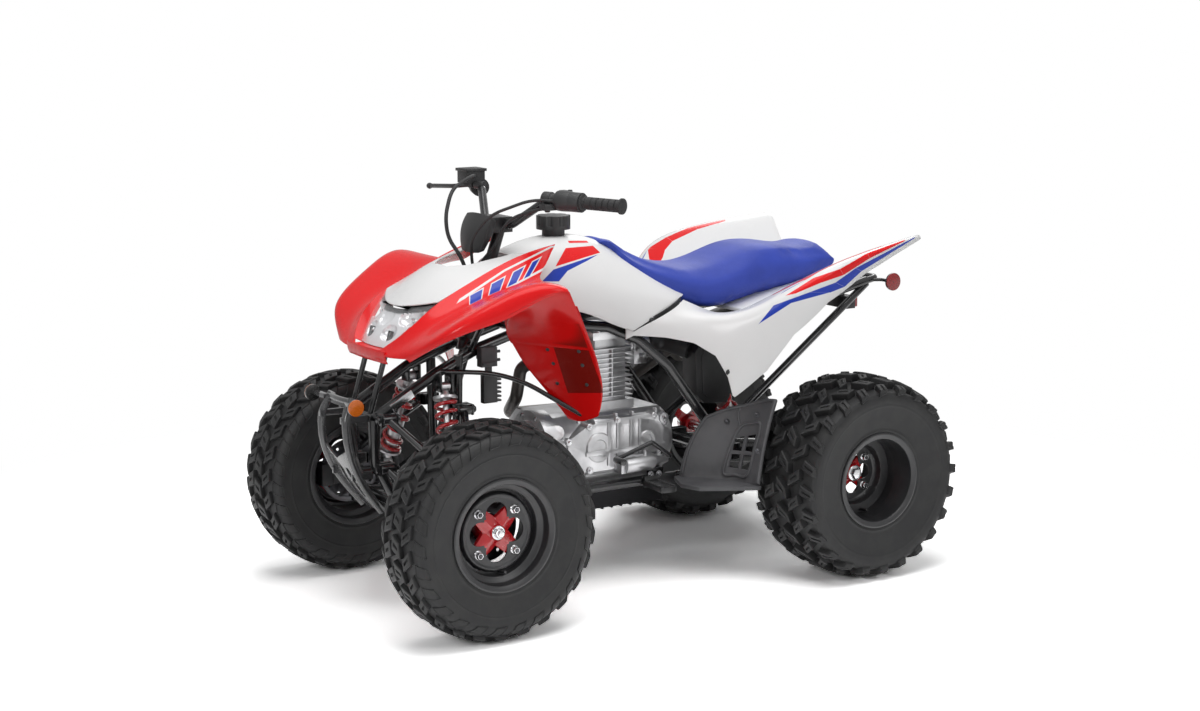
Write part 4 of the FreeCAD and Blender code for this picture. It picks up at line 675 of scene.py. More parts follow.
# in millimetres: barrel and disc as (x, radius) and (radius, x); clover lobe, its distance and the middle circle;
# arms by station; boss and caps as (x, radius) with a count of steps
rimParts = {
    "front": {"barrel": [(75, 141), (76, 137), (72, 124.5), (47, 123.5), (40, 108), (-40, 108), (-46, 123.5),
                         (-72, 124.5), (-76, 138), (-75, 141), (-71, 141), (-70, 127), (-48, 127), (-42, 111.5),
                         (42, 111.5), (48, 127), (70, 127), (71, 141)],
              "disc": [(0, 32), (86, 32), (89, 34.5), (94, 34.5), (97.5, 30), (100, 23), (108.5, 22)],
              "clover": (30, 45, 36), "outer": 108.5, "nuts": (32, 72, 9.8, 12),
              "arms": [(4, 26, 12, 24, 38), (22, 25, 12, 26, 38), (40, 23, 13, 27.5, 34), (56, 21, 15, 26.5, 30),
                       (68, 19, 18, 27, 27.5), (80, 14, 20, 27, 27.3)],
              "boss": [(-34, 12.3), (-34, 24), (-22, 38), (12, 36), (26, 30), (35, 21), (40, 19), (40, 12.3)],
              "caps": [([(36, 0), (36, 17.5), (41.5, 18), (42.5, 16.5), (42.5, 0)], 40),
                       ([(42, 0), (42, 13), (50, 13), (52, 11), (52, 0)], 6),
                       ([(50, 0), (50, 8), (56, 8), (57, 7), (57, 0)], 24)]},
    "rear": {"barrel": [(105, 128.5), (106, 125), (102, 111.5), (60, 109.5), (40, 106.5), (-60, 106.5), (-100, 111.5),
                        (-106, 125), (-105, 128.5), (-101, 128.5), (-99, 114.3), (99, 114.3), (101, 128.5)],
             "disc": [(0, -10), (70, -10), (73, -7.5), (77, -7.5), (81, -1), (83, 8), (106.5, 12)],
             "clover": (21, 36, 28), "outer": 106.8, "nuts": (-10, 55, 9.8, 12),
             "arms": [(4, 18, -28, -14, 2), (22, 16, -28, -14, -2), (40, 13, -26, -14.8, -14.5),
                      (56, 12, -24, -14.5, -14.3), (66, 10, -22, -14.6, -14.4)],
             "boss": [(-48, 15.1), (-48, 26), (-24, 30), (-2, 24), (0, 22), (0, 15.1)],
             "caps": [([(-3, 0), (-3, 21), (1, 22), (2, 20), (2, 0)], 40),
                      ([(1, 0), (1, 16), (11, 16), (13, 14), (13, 0)], 6)]}}


def wheelMiddle(centre, part):  # rim, hub, nuts and studs of one wheel
    barrel, disc, clover, outer, nutPlace, arms, boss = [
        np.asarray(part[key]) * 0.001 for key in ("barrel", "disc", "clover", "outer", "nuts", "arms", "boss")]
    front = rimDisc(disc, clover, outer) + centre
    back = front - (plateWall, 0, 0)
    faces = quadGrid(discSteps, discRings, wrapRows=True)
    inner = np.stack([front[:, 0], back[:, 0]], 1), quadGrid(discSteps, 2, wrapRows=True)[:, ::-1].tolist()
    valve = bar(np.add(centre, (disc[-1, 1] - 0.004, 0.012, 0.008 - outer)),
                np.add(centre, (disc[-1, 1] + 0.028, 0.014, 0.01 - outer)), 0.0042, 16)
    rim = joined([lathe(roundedPath(barrel, barrelBend, 4), centre, barrelSteps), (front, faces.tolist()),
                  (back, faces[:, ::-1].tolist()), inner, valve])
    made = [nut(centre, *nutPlace, np.pi / 4 + k * np.pi / 2) for k in range(4)]
    nuts, studs = [joined([p for pair in made for p in pair[k]]) for k in (0, 1)]
    hub = joined([spun(hubArm(arms), 4, np.pi / 4, centre), lathe(boss, centre, 48)])
    caps = [lathe(np.asarray(profile) * 0.001, centre, steps) for profile, steps in part["caps"]]
    return rim, hub, joined([nuts] + caps), studs


# finish, slot, angle that stays sharp
middleLooks = {"Rim": ("rimBlack", "wheel_black", 28), "Hub": ("redPaint", "hub_red", 20),
               "Nuts": ("brightSteel", "hub_red", 30), "Studs": ("darkSteel", "hub_red", 30)}
frontMiddle, rearMiddle = [dict(zip(middleLooks, wheelMiddle(wheels[end]["centre"], rimParts[end])))
                           for end in ("front", "rear")]


def putMiddle(kind, part, name, body, bevel, node):  # rims and hubs replace a node, nuts and studs are extra
    finish, slot, sharp = middleLooks[kind]
    putMesh(name, part, finish, slot, (node,) if kind in ("Rim", "Hub") else (), body, sharp=sharp, bevel=bevel)


for side, mirrored in (("Left", False), ("Right", True)):
    lower = side.lower()
    for kind, bevel in (("Rim", 0), ("Hub", 0.0012), ("Nuts", 0.0005), ("Studs", 0)):
        part = mirrorX(frontMiddle[kind]) if mirrored else frontMiddle[kind]
        putMiddle(kind, part, "front" + kind + side, "wheel_front_" + lower, bevel,
                  "front_%s_%s" % (kind.lower(), lower))
    smoothCopy("brakeDisc" + side, "brake_disc_" + lower, "darkSteel", bevel=0.0004)
for kind, name, bevel in (("Rim", "Rims", 0), ("Hub", "Hubs", 0.001), ("Studs", "Studs", 0), ("Nuts", "Nuts", 0.0005)):
    putMiddle(kind, bothSides([rearMiddle[kind]]), "rear" + name, "rear_wheels", bevel, "rear_" + name.lower())
print("rims and hubs made")

nets = {
    "fender": [
        [(66, -722, 676), (92, -726, 668), (122, -724, 668), (158, -716, 669), (192, -705, 671), (190, -700, 662)],
        [(126, -690, 716), (150, -692, 704), (178, -692, 702), (220, -690, 708), (262, -687, 714), (258, -682, 699)],
        [(142, -640, 765), (166, -648, 742), (194, -655, 734), (252, -661, 742), (312, -667, 750), (308, -660, 728)],
        [(142, -585, 802), (174, -592, 774), (206, -600, 764), (276, -602, 782), (345, -603, 796), (342, -596, 756)],
        [(141, -500, 840), (176, -512, 805), (214, -522, 795), (296, -526, 820), (376, -528, 838), (373, -520, 778)],
        [(141, -420, 877), (180, -436, 836), (226, -450, 822), (316, -462, 850), (402, -468, 866), (398, -460, 822)],
        [(142, -330, 908), (182, -362, 858), (226, -392, 836), (324, -404, 860), (420, -412, 869), (416, -404, 842)],
        [(142, -250, 920), (176, -300, 872), (205, -342, 842), (312, -362, 848), (417, -380, 851), (412, -376, 836)]],
    "flap": [
        [(408, -376, 858), (350, -396, 862), (290, -424, 850), (240, -466, 840)],
        [(401, -322, 735), (345, -360, 735), (290, -405, 735), (245, -468, 735)],
        [(396, -292, 680), (340, -335, 680), (285, -380, 680), (236, -428, 684)],
        [(391, -275, 630), (335, -315, 630), (275, -352, 628), (217, -390, 628)],
        [(385, -256, 565), (345, -285, 560), (300, -314, 558), (258, -342, 560)],
        [(372, -268, 512), (350, -282, 500), (325, -296, 492), (300, -311, 498)]],
    "wing": [
        [(118, -40, 800), (130, -40, 770), (141, -40, 742), (150, -40, 716), (153, -40, 690), (153, -40, 655)],
        [(128, 75, 775), (138, 75, 752), (150, 75, 727), (160, 75, 700), (163, 75, 676), (162, 75, 632)],
        [(144, 160, 740), (160, 160, 726), (182, 160, 712), (204, 160, 694), (218, 160, 640), (222, 160, 560)],
        [(152, 215, 712), (176, 215, 706), (222, 215, 708), (272, 215, 704), (292, 210, 610), (306, 208, 470)],
        [(155, 285, 690), (190, 285, 702), (262, 285, 724), (334, 285, 744), (338, 285, 660), (330, 285, 520)],
        [(155, 345, 705), (200, 345, 726), (290, 345, 766), (380, 345, 797), (384, 345, 735), (376, 345, 630)],
        [(152, 430, 728), (210, 430, 753), (310, 430, 806), (418, 430, 847), (421, 430, 800), (414, 430, 725)],
        [(145, 550, 752), (205, 550, 782), (300, 550, 838), (402, 550, 874), (405, 552, 842), (398, 556, 790)],
        [(138, 670, 774), (190, 676, 808), (280, 682, 860), (375, 684, 889), (378, 686, 868), (372, 690, 835)],
        [(126, 716, 784), (200, 738, 824), (270, 768, 868), (335, 797, 898), (340, 803, 888), (338, 808, 872)]],
    "guard": [
        [(168, 122, 270), (205, 168, 264), (262, 212, 264), (322, 234, 266), (372, 236, 272)],
        [(168, 132, 330), (208, 180, 330), (266, 226, 330), (326, 248, 335), (372, 246, 345)],
        [(172, 152, 380), (212, 200, 390), (270, 244, 398), (328, 266, 402), (366, 262, 404)],
        [(180, 196, 425), (216, 232, 450), (272, 272, 470), (328, 300, 492), (356, 302, 492)]],
    "pad": [
        [(-62, -392, 990), (-30, -398, 996), (30, -398, 996), (62, -392, 990)],
        [(-74, -408, 962), (-36, -416, 966), (36, -416, 966), (74, -408, 962)],
        [(-66, -416, 930), (-32, -426, 932), (32, -426, 932), (66, -416, 930)],
        [(-44, -420, 898), (-22, -428, 896), (22, -428, 896), (44, -420, 898)]],
    "nose": [[(104 * t, dy - 728 + 6 * t * t, z) for t in (-1, -0.5, 0, 0.5, 1)]
             for dy, z in ((2, 679), (0, 668), (2, 657), (8, 648))],
    "hood": [[(138 * t, y + sweep * t * t, z + rise * t * t) for t in (-1, -0.55, 0, 0.55, 1)]
             for y, z, sweep, rise in ((-651, 777, 60, 21), (-600, 822, 55, -4), (-540, 864, 50, -21),
                                       (-480, 884, 40, -18), (-410, 892, 30, -4), (-350, 896, 18, 6))],
    "bumper": [[(half * t, y + 10 * t * t, z) for t in (-1, -0.6, -0.2, 0.2, 0.6, 1)]
               for y, z, half in ((-800, 560, 66), (-830, 520, 80), (-822, 440, 86), (-808, 390, 84), (-770, 320, 76),
                                  (-720, 262, 60))]}
# the tank cover's cross sections: y, height of the middle, then x and z outwards
saddle = ((-318, 884, 46, 884, 96, 868, 142, 850, 168, 815, 178, 785),
          (-255, 913, 46, 911, 92, 896, 140, 862, 172, 810, 181, 758),
          (-185, 929, 44, 925, 86, 906, 132, 862, 170, 800, 180, 745),
          (-110, 926, 42, 920, 80, 894, 124, 846, 164, 780, 172, 709),
          (-30, 905, 40, 898, 74, 872, 116, 824, 154, 757, 156, 676),
          (60, 852, 40, 848, 80, 826, 118, 786, 148, 735, 158, 658),
          (165, 822, 40, 815, 80, 790, 118, 758, 146, 720, 160, 640))
nets["tank"] = [[(-x, y, z) for x, z in reversed(list(zip(r[::2], r[1::2])))] + [(0, y, top)]
                + list(zip(r[::2], [y] * 5, r[1::2])) for y, top, *r in saddle]


def panelPaint(name, ground, layers):  # glossy moulding with a faint ripple and fine dust
    paint = Paint(name, Coat_Weight=0.22, Coat_Roughness=0.05, Specular_IOR_Level=0.2)
    cloud, fine = paint.noise(9, 3.0), paint.noise(900, 2.0)
    colour = layered(paint, ground, layers)
    soft = paint.node("Mix", {"data_type": "RGBA", "blend_type": "MULTIPLY"},
                      {0: cloud.rise(0.3, 0.9) * 0.1, 6: colour, 7: grey(0.72)}, output=2)
    paint.wear(Base_Color=soft, Roughness=fine * 0.05 + cloud * 0.08 + 0.2, Normal=paint.bump(cloud, 0.12, 0.0012))
    return paint.material


red, white, blue = rgb(0.8, 0.006, 0.008), grey(0.82), rgb(0.016, 0.05, 0.44)


# corner and enlargement of the two parts of the stencil's picture that the outlines were read off
sideCrop, tailCrop = ((330, 200), 5.058), ((560, 200), 4.181)


def cropped(crop, outlines):  # corner + pixel / enlargement
    (left, top), scale = crop
    return [[(left + x / scale, top + y / scale) for x, y in corners] for corners in outlines]


def slantedBars(low, high, spans, slant):  # parallelograms between two lines, the upper ends moved on by the slant
    low, high = np.asarray(low, float), np.asarray(high, float)
    lowRun, highRun = low[1] - low[0], high[1] - high[0]
    return [[low[0] + a * lowRun, low[0] + b * lowRun, high[0] + (b + slant) * highRun, high[0] + (a + slant) * highRun]
            for a, b in spans]


flankBars = cropped(sideCrop, slantedBars([(700, 542), (1075, 352)], [(655, 512), (1095, 275)],
                                          [(0.02, 0.17), (0.27, 0.42), (0.52, 0.65), (0.74, 0.83)], 0.1))
flankLines = cropped(sideCrop, [
    [(505, 663), (640, 574), (690, 556), (560, 640)], [(640, 574), (880, 468), (884, 480), (690, 556)],
    [(880, 468), (905, 438), (912, 444), (884, 480)], [(905, 438), (1085, 340), (1088, 352), (912, 444)],
    [(640, 524), (655, 500), (700, 480), (688, 496)], [(655, 500), (880, 352), (884, 362), (672, 505)],
    [(880, 352), (1120, 232), (1123, 240), (884, 362)], [(1120, 232), (1164, 230), (1160, 238), (1123, 240)],
    [(1164, 230), (1170, 240), (1086, 352), (1078, 344)]])
tankRed = cropped(sideCrop, [[(1140, 337), (1192, 243), (1330, 231), (1367, 266)],
                             [(1203, 206), (1300, 205), (1307, 216), (1209, 218)]])
tankBlue = cropped(sideCrop, [[(1072, 412), (1130, 352), (1235, 318), (1158, 412)],
                              [(1130, 352), (1380, 267), (1300, 308), (1190, 372)]])
wingRed = cropped(tailCrop, [
    [(943, 400), (1060, 326), (1100, 342), (985, 391)], [(1060, 326), (1172, 288), (1185, 314), (1095, 345)],
    [(1172, 288), (1285, 222), (1295, 244), (1185, 314)], [(1285, 222), (1446, 163), (1440, 172), (1295, 244)]])
wingBlue = cropped(tailCrop, [
    [(830, 519), (893, 441), (962, 415), (966, 431)], [(893, 441), (1045, 385), (1130, 386), (962, 432)],
    [(1045, 385), (1152, 345), (1190, 363), (1130, 387)], [(1152, 345), (1236, 285), (1262, 297), (1190, 363)],
    [(1236, 285), (1485, 154), (1481, 161), (1262, 297)]])
# the mudflap's riveted insert, coloured darker: painted shade of a face turned from the light
flapInsertShade = [[(545, 320), (579, 324), (604, 393), (568, 393)]]
wingInnerBlue = cropped(tailCrop, [
    [(270, 330), (300, 225), (340, 190), (368, 205), (340, 260)],
    [(300, 225), (420, 138), (440, 146), (362, 205), (330, 240)],
    [(420, 138), (540, 85), (560, 96), (440, 146)], [(540, 85), (700, 60), (705, 70), (560, 96)]])
wingInnerRed = cropped(tailCrop, [
    [(380, 290), (366, 203), (440, 205), (430, 240), (395, 300)], [(366, 203), (445, 155), (470, 172), (440, 208)],
    [(445, 155), (560, 105), (575, 122), (470, 172)], [(560, 105), (690, 78), (692, 88), (575, 122)]])


def layered(paint, ground, layers):  # each layer: outlines, colour, growth, and the side of the panel that carries it
    colour = ground
    for outlines, over, grow, side in layers:
        mask = paint.patches(paint.stencilPoint(side), outlines, grow) * paint.outward(side)
        colour = paint.blend(mask, colour, over)
    return colour


panels = {"flankPanel": (red, (flankLines, white, 0, 1), (flankBars, white, 0.7, 1), (flankBars, blue, -0.25, 1)),
          "tankPanel": (white, (tankRed, red, 0, 1), (tankBlue, blue, 0, 1)),
          "wingPanel": (white, (wingRed, red, 0, 1), (wingBlue, blue, 0, 1), (wingInnerBlue, blue, 0, -1),
                        (wingInnerRed, red, 0, -1)),
          # mudflap red is darker than the fender's, partly its own colour and partly painted shade; its insert is
          # darker still, as painted shade
          "shadedFlapPanel": (rgb(0.66, 0.005, 0.005), (flapInsertShade, rgb(0.2, 0.008, 0.005), 0, 1)), "whitePanel": (white,)}
for panelName, (ground, *layers) in panels.items():
    paints[panelName] = panelPaint(panelName, ground, layers)

fenderSheet = netSheet(nets["fender"], 78, 54)
nosePart = netSheet(nets["nose"], 16, 40)
moulding = {"sharp": 50, "wall": 0.0035, "bevel": 0.0011}
putMesh("frontFender", joined([fenderSheet, mirrorX(fenderSheet), nosePart]), "flankPanel", "red_plastic",
        ("front_fender",), **moulding)

flap = netSheet(nets["flap"], 60, 30, start=0.06)
rivetShape = [(0, 0), (0, 0.005), (0.0022, 0.0048), (0.0032, 0.003), (0.0035, 0)]
rivets = []
for u, v in ((0.36, 0.16), (0.36, 0.62), (0.56, 0.17), (0.56, 0.62), (0.78, 0.2), (0.78, 0.74)):
    spot = onNet("flap", u, v)
    out = np.cross(onNet("flap", u, v + 0.01) - spot, onNet("flap", u + 0.01, v) - spot)
    out /= np.linalg.norm(out)
    rivets.append(turnedAlong(spot - 0.001 * out, spot + 0.004 * out, rivetShape, 20))
putMesh("mudflaps", bothSides([flap]), "shadedFlapPanel", "red_plastic", ("mudflaps",), sharp=50, wall=0.003, bevel=0.0009)
span = np.linspace(0, 1, 30)
lip = np.array([onNet("fender", 0.6 + 0.4 * t, 0.985) + (0.0015, 0, 0.002) for t in span])
seam = np.array([onNet("flap", 0.3 + 0.04 * t, 1 - t) + (0.001, -0.003, 0) for t in span])
seamRun = np.array([onNet("flap", 0.4 + 0.04 * t, 1 - t) - onNet("flap", 0.3 + 0.04 * t, 1 - t) for t in span])
seamRun *= (np.linalg.norm(seam - lip, axis=1) / np.linalg.norm(seamRun, axis=1))[:, None]
fall = np.linspace(0, 1, 16)[None, :, None]
# a cubic from the lip to the seam that arrives along the flap's own slope
skirt = (lip[:, None] * (2 * fall**3 - 3 * fall**2 + 1) + (seam - lip)[:, None] * (fall**3 - 2 * fall**2 + fall)
         + seam[:, None] * (3 * fall**2 - 2 * fall**3) + seamRun[:, None] * (fall**3 - fall**2))
# the skirts carry the mudflap's darker red, which is partly painted shade
putMesh("fenderSkirts", bothSides([gridPart(skirt)]), "shadedFlapPanel", "red_plastic", sharp=60, wall=0.0025, bevel=0.0008)
putMesh("flapRivets", bothSides(rivets), "satinBlack", "frame_black", sharp=40)

hoodNet = np.transpose(np.asarray(nets["hood"], float), (1, 0, 2))
opening = np.array([(-0.097, -0.3), (-0.096, -0.372), (-0.074, -0.468), (-0.034, -0.508), (0.034, -0.508),
                    (0.074, -0.468), (0.096, -0.372), (0.097, -0.3)])
hood = netSheet(hoodNet, 72, 44, degrees=(2, 3),
                keep=lambda p: np.interp(p[..., 0], opening[:, 0], opening[:, 1]) - p[..., 1])
putMesh("hood", flipped(hood), "whitePanel", "white_plastic", ("hood",), **moulding)

tray = [box((66, -600, 772), (112, -470, 775)), box((30, -470, 772), (108, -300, 775)),
        box((-66, -640, 774), (66, -520, 777))]
putMesh("hoodTray", bothSides(tray), "blackMould", "black_plastic", sharp=30)

splitLine = [(-25, 674), (150, 747), (166, 754)]
tank = netSheet(nets["tank"], 80, 96,
                keep=lambda p: np.where(p[..., 1] > -0.025, above(p[..., 1], p[..., 2], splitLine), 1.0))
under = [np.clip(t, 0, 1) for t in ((tank[0][..., 1] - 0.01) / 0.04, (0.085 - np.abs(tank[0][..., 0])) / 0.03)]
tank[0][..., 2] -= 0.014 * under[0] * under[1]  # out of the seat's way, where the seat lies on it
putMesh("tankCover", tank, "tankPanel", "white_plastic", ("tank_cover",), **moulding)

lowLine = [(-60, 668), (75, 652), (140, 636), (180, 604), (200, 548), (208, 494), (285, 567), (344, 664), (430, 747),
           (560, 812), (690, 853), (830, 890)]
upLine = [(-60, 656), (-23.5, 671), (150.5, 744)]


def wingKeep(p):  # under the split line in front, above the low edge, above the lip's edge at the back
    x, y, z = p[..., 0], p[..., 1], p[..., 2]
    low = np.where((y > 0.344) & (x < 0.325), 1.0, above(y, z, lowLine))
    return np.where(y < 0.1505, np.minimum(low, -above(y, z, upLine)), low)


wingLines = 104, 62
wing = netSheet(nets["wing"], *wingLines, keep=wingKeep)
bridgeTop = [(330, 706), (430, 731), (550, 755), (640, 772), (700, 783)]
bridgeLine = bridgeTop + [(y, z - 11) for y, z in bridgeTop[::-1]]
bridge = loft(np.array([[(x, y, z) for y, z in bridgeLine] for x in (-158, 158)]) * 0.001)
putMesh("rearFender", bothSides([wing]), "wingPanel", "white_plastic", ("rear_fender",), **moulding)
putMesh("rearBridge", bridge, "whitePanel", "white_plastic", sharp=30, bevel=0.003, tidy=True)


# painted shade: a dark strip just behind the gap between tank cover and rear fender, standing in for the shade inside
# the gap, at the side's own x read off the net
sideNet = netSheet(nets["wing"], *wingLines)[0].reshape(-1, 3)
gapInset = 0.0105
gapY = np.linspace(-0.022, 0.149, 40)
gapLine = np.stack([np.zeros_like(gapY), gapY, np.interp(gapY, (-0.0235, 0.1505), (0.6715, 0.7445))], -1)
nearest = np.argmin(np.linalg.norm(sideNet[None, :, 1:] - gapLine[:, None, 1:], axis=2), axis=1)
gapLine[:, 0] = np.polyval(np.polyfit(gapY, sideNet[nearest, 0], 3), gapY) - gapInset
strip = np.stack([gapLine + (dx, 0, dz) for dx, dz in ((0, -0.007), (0, 0.007), (-0.002, 0.007), (-0.002, -0.007))], 1)
putMesh("gapShadeStrip", bothSides([loft(strip)]), "satinBlack", "frame_black", sharp=40, tidy=True)
print("panels made")


def seatPaint():  # softly mottled blue skin with small cells pressed into it
    paint = Paint("seatVinyl", Specular_IOR_Level=0.4)
    grain = paint.cells(520.0)
    cloud = paint.noise(12, 3.0)
    leather = grain.rise(0.0, 0.25)
    paint.wear(Base_Color=paint.blend(cloud.rise(0.3, 0.8), rgb(0.03, 0.062, 0.42), rgb(0.022, 0.048, 0.34)),
               Roughness=cloud * 0.1 + leather * 0.06 + 0.4, Normal=paint.bump(leather, 0.45, 0.00022))
    return paint.material


paints["seatVinyl"] = seatPaint()


def vertexArray(mesh, name):  # places or normals of all points, a row each
    values = np.empty(len(mesh.vertices) * 3)
    mesh.vertices.foreach_get(name, values)
    return values.reshape(-1, 3)


seatCell, seatSink, seatPuff, clothFrames = 0.0078, 0.004, 0.009, 20


def makeSeat():  # the CAD cushion in even cells, sunk a little and blown up as cloth by at most the puff
    piece = addObject("seat", nodes["seat"].data.copy())
    weld(piece.data, 0.00001)
    bpy.context.view_layer.objects.active = piece
    piece.select_set(True)
    piece.data.remesh_voxel_size = seatCell
    bpy.ops.object.voxel_remesh()
    rest = vertexArray(piece.data, "co") - seatSink * vertexArray(piece.data, "normal")
    piece.data.vertices.foreach_set("co", rest.ravel())
    soft = rest
    cloth = piece.modifiers.new("cloth", "CLOTH").settings
    cloth.use_pressure = True
    cloth.uniform_pressure_force = 4
    cloth.mass = 0.4
    cloth.tension_stiffness = cloth.compression_stiffness = 18
    cloth.effector_weights.gravity = 0
    for f in range(1, clothFrames + 1):
        bpy.context.scene.frame_set(f)
    puffed = piece.evaluated_get(bpy.context.evaluated_depsgraph_get()).data
    move = vertexArray(puffed, "co") - rest
    piece.modifiers.clear()
    bpy.context.scene.frame_set(1)
    length = np.linalg.norm(move, axis=1)[:, None]
    soft = rest + move * np.minimum(1, seatPuff / np.maximum(length, 1e-9))
    piece.data.vertices.foreach_set("co", soft.ravel())
    piece.data.update()
    finishPiece(piece, "seatVinyl", "chassis", ("seat",), sharp=80, smooth=1)
    print("seat padded, vertices", len(piece.data.vertices))


makeSeat()


armPivotY, upperPivot, lowerPivot = (-716, -500), (102, 508), (88, 378)


# tubes, lugs and brackets of the left half with their mirror images, the tail loop, cross tubes and steering bearings
def frameParts():
    side = [
        pipe([(74, -742, 505), (74, -566, 604), (60, -433, 655), (62, -250, 705), (95, -60, 682), (118, 20, 645),
              (130, 110, 566), (134, 235, 400), (138, 292, 318)], 14, 45),
        pipe([(74, -742, 505), (61, -735, 390), (100, -690, 285), (126, -560, 262), (130, -100, 262), (132, 200, 262),
              (138, 292, 318)], 14, 45),
        pipe([(95, -60, 682), (112, 60, 690), (118, 300, 672), (116, 560, 690), (115, 800, 742)], 12.5, 60),
        pipe([(136, 270, 360), (118, 560, 560), (115, 800, 735)], 10.5, 60),
        pipe([(112, 806, 743), (132, 841, 743), (178, 841, 743)], 5, 10),
        rod((50, -742, 505), (50, -676, 720), 7), rod((62, -460, 645), (203, -461, 815), 8),
        rod((62, -250, 700), (164, -250, 757.5), 8), rod((100, 40, 690), (160, 40, 699), 8),
        rod((116, 560, 690), (116, 560, 752), 9), rod((74, -500, 645), (61, -500, 350), 12.5),
        rod((61, -500, 358), (126, -410, 264), 12.5), rod((74, -735, 505), (61, -735, 380), 12.5)]
    for x, z in (upperPivot, lowerPivot):
        for y in armPivotY:
            side += [box((x - 30, y + 18, z - 14), (x + 11, y + 24, z + 14)),
                     box((x - 30, y - 24, z - 14), (x + 11, y - 18, z + 14)),
                     box((x - 30, y - 24, z - 14), (x - 15, y + 24, z + 14)), rod((x, y - 30, z), (x, y + 30, z), 6)]
            side += [turned((x, y + s * 24, z), (x, y + s * 34, z), [(0, 0), (0, 10), (7, 10), (9, 7), (9, 0)], 6)
                     for s in (-1, 1)]
    for y in (-569, -537):
        side.append(box((68, y, 560), (105, y + 6, 606)))
    for y in (-200, 60):
        side.append(box((104, y, 262), (124, y + 40, 290)))
    side += [box((138, 30, 252), (147, 110, 272)), box((115, 276, 286), (140, 344, 330)),
             box((13.3, 262, 588), (19.3, 312, 672))]
    across = [rod((-x, y, z), (x, y, z), radius) for x, y, z, radius in (
        (74, -742, 505, 12.5), (95, -700, 292, 12.5), (61, -500, 362, 12.5), (62, -300, 693, 14),
        (60, -433.4, 655, 12.5), (128, -256, 262, 12.5), (138, 288, 312, 14), (118, 300, 672, 12.5),
        (115, 790, 740, 12.5))]
    across += [box((-16, -519, 350), (16, -500, 372)),
               turned((0, -541.4, 341.7), (0, -532.9, 366.3), [(0, 15.2), (0, 25), (26, 25), (26, 15.2)]),
               turned((0, -438.9, 638.9), (0, -427.9, 671.1), [(0, 15.2), (0, 25), (34, 25), (34, 15.2)])]
    loop = pipe([(115, 790, 740), (115, 838, 748), (-115, 838, 748), (-115, 790, 740)], 9.5, 28)
    return joined([bothSides(side), loop] + across)


putMesh("frame", frameParts(), "blackPaint", "frame_black", ("frame",), sharp=32, bevel=0.0009)


kingpinX, frontAxleY = 329, -594


# two rods from the frame's brackets to the ball joint on the kingpin
def armParts(pivot, ballZ, drop):
    (x, z), near = pivot, (kingpinX - 11, frontAxleY, ballZ - drop)
    parts = [rod((kingpinX, frontAxleY, ballZ - 9), (kingpinX, frontAxleY, ballZ + 9), 15, 36),
             rod((kingpinX, frontAxleY, ballZ + 8.5), (kingpinX, frontAxleY, ballZ + 9.6), 10, 30)]
    for y in armPivotY:
        parts += [rod((x, y, z), near, 10), rod((x, y - 18, z), (x, y + 18, z), 14, 32)]
    return parts


lowerParts = armParts(lowerPivot, 206, 4) + [rod((178, -664, 309), (178, -541, 309), 9)]
for y in (-599, -566.7):
    lowerParts.append(box((165, y, 304), (191, y + 5.7, 346)))
lowerParts.append(rod((178, -600, 334), (178, -560, 334), 6))
putMesh("upperArms", bothSides(armParts(upperPivot, 338, -4)), "blackPaint", "arm_black", ("upper_arms",), bevel=0.0008)
putMesh("lowerArms", bothSides(lowerParts), "blackPaint", "arm_black", ("lower_arms",), bevel=0.0008)


turnSteps, wireSides = 40, 12


def coil(foot, head, turns, radius, wire):  # a screw line round the axis, its end turns closed up
    foot, head = np.asarray(foot, float), np.asarray(head, float)
    length = np.linalg.norm(head - foot)
    axis = (head - foot) / length
    side, other = acrossLine(axis)
    t = np.linspace(0, 1, turns * turnSteps)[:, None]
    rise = t - 0.055 * np.sin(2 * np.pi * t)
    angle = t * turns * 2 * np.pi
    path = foot + axis * (rise * length) + radius * (np.cos(angle) * side + np.sin(angle) * other)
    return tubeAlong(path, wire, wireSides)


# a stepped cylinder with its rod, spring cups, end eyes and cap on one line, and the coil round it
def shockParts(foot, head, eyeAxis):
    (foot, head), eyeAxis = mm(foot, head), np.asarray(eyeAxis, float)
    length = np.linalg.norm(head - foot)
    axis, half = (head - foot) / length, 0.5 * length
    body = turnedAlong(foot, head, [(0.012, 0), (0.012, 0.011), (0.028, 0.011), (0.03, 0.017), (0.032, 0.019),
                                    (half, 0.019), (half + 0.002, 0.017), (half + 0.002, 0)])
    stem = turnedAlong(foot, head, [(half, 0), (half, 0.007), (length - 0.012, 0.007), (length - 0.012, 0)], 24)
    cups = [turnedAlong(foot, head, [(a, 0.006), (a, r), (a + 0.0015, 0.031), (a + b, 0.031), (a + b, 0.006)], 44)
            for a, b, r in ((0.03, 0.006, 0.03), (length - 0.034, 0.008, 0.03))]  # distance, height, radius
    eyeShape = [(0, 0.0055), (0, 0.011), (0.001, 0.012), (0.025, 0.012), (0.026, 0.011), (0.026, 0.0055)]
    eyes = [turnedAlong(p - eyeAxis * 0.013, p + eyeAxis * 0.013, eyeShape, 32) for p in (foot, head)]
    cap = turnedAlong(foot, head, [(length - 0.03, 0), (length - 0.03, 0.014), (length - 0.012, 0.01),
                                   (length - 0.012, 0)], 30)
    return [body, stem, cap] + cups + eyes, coil(foot + axis * 0.041, head - axis * 0.039, 6, 0.025, 0.005)


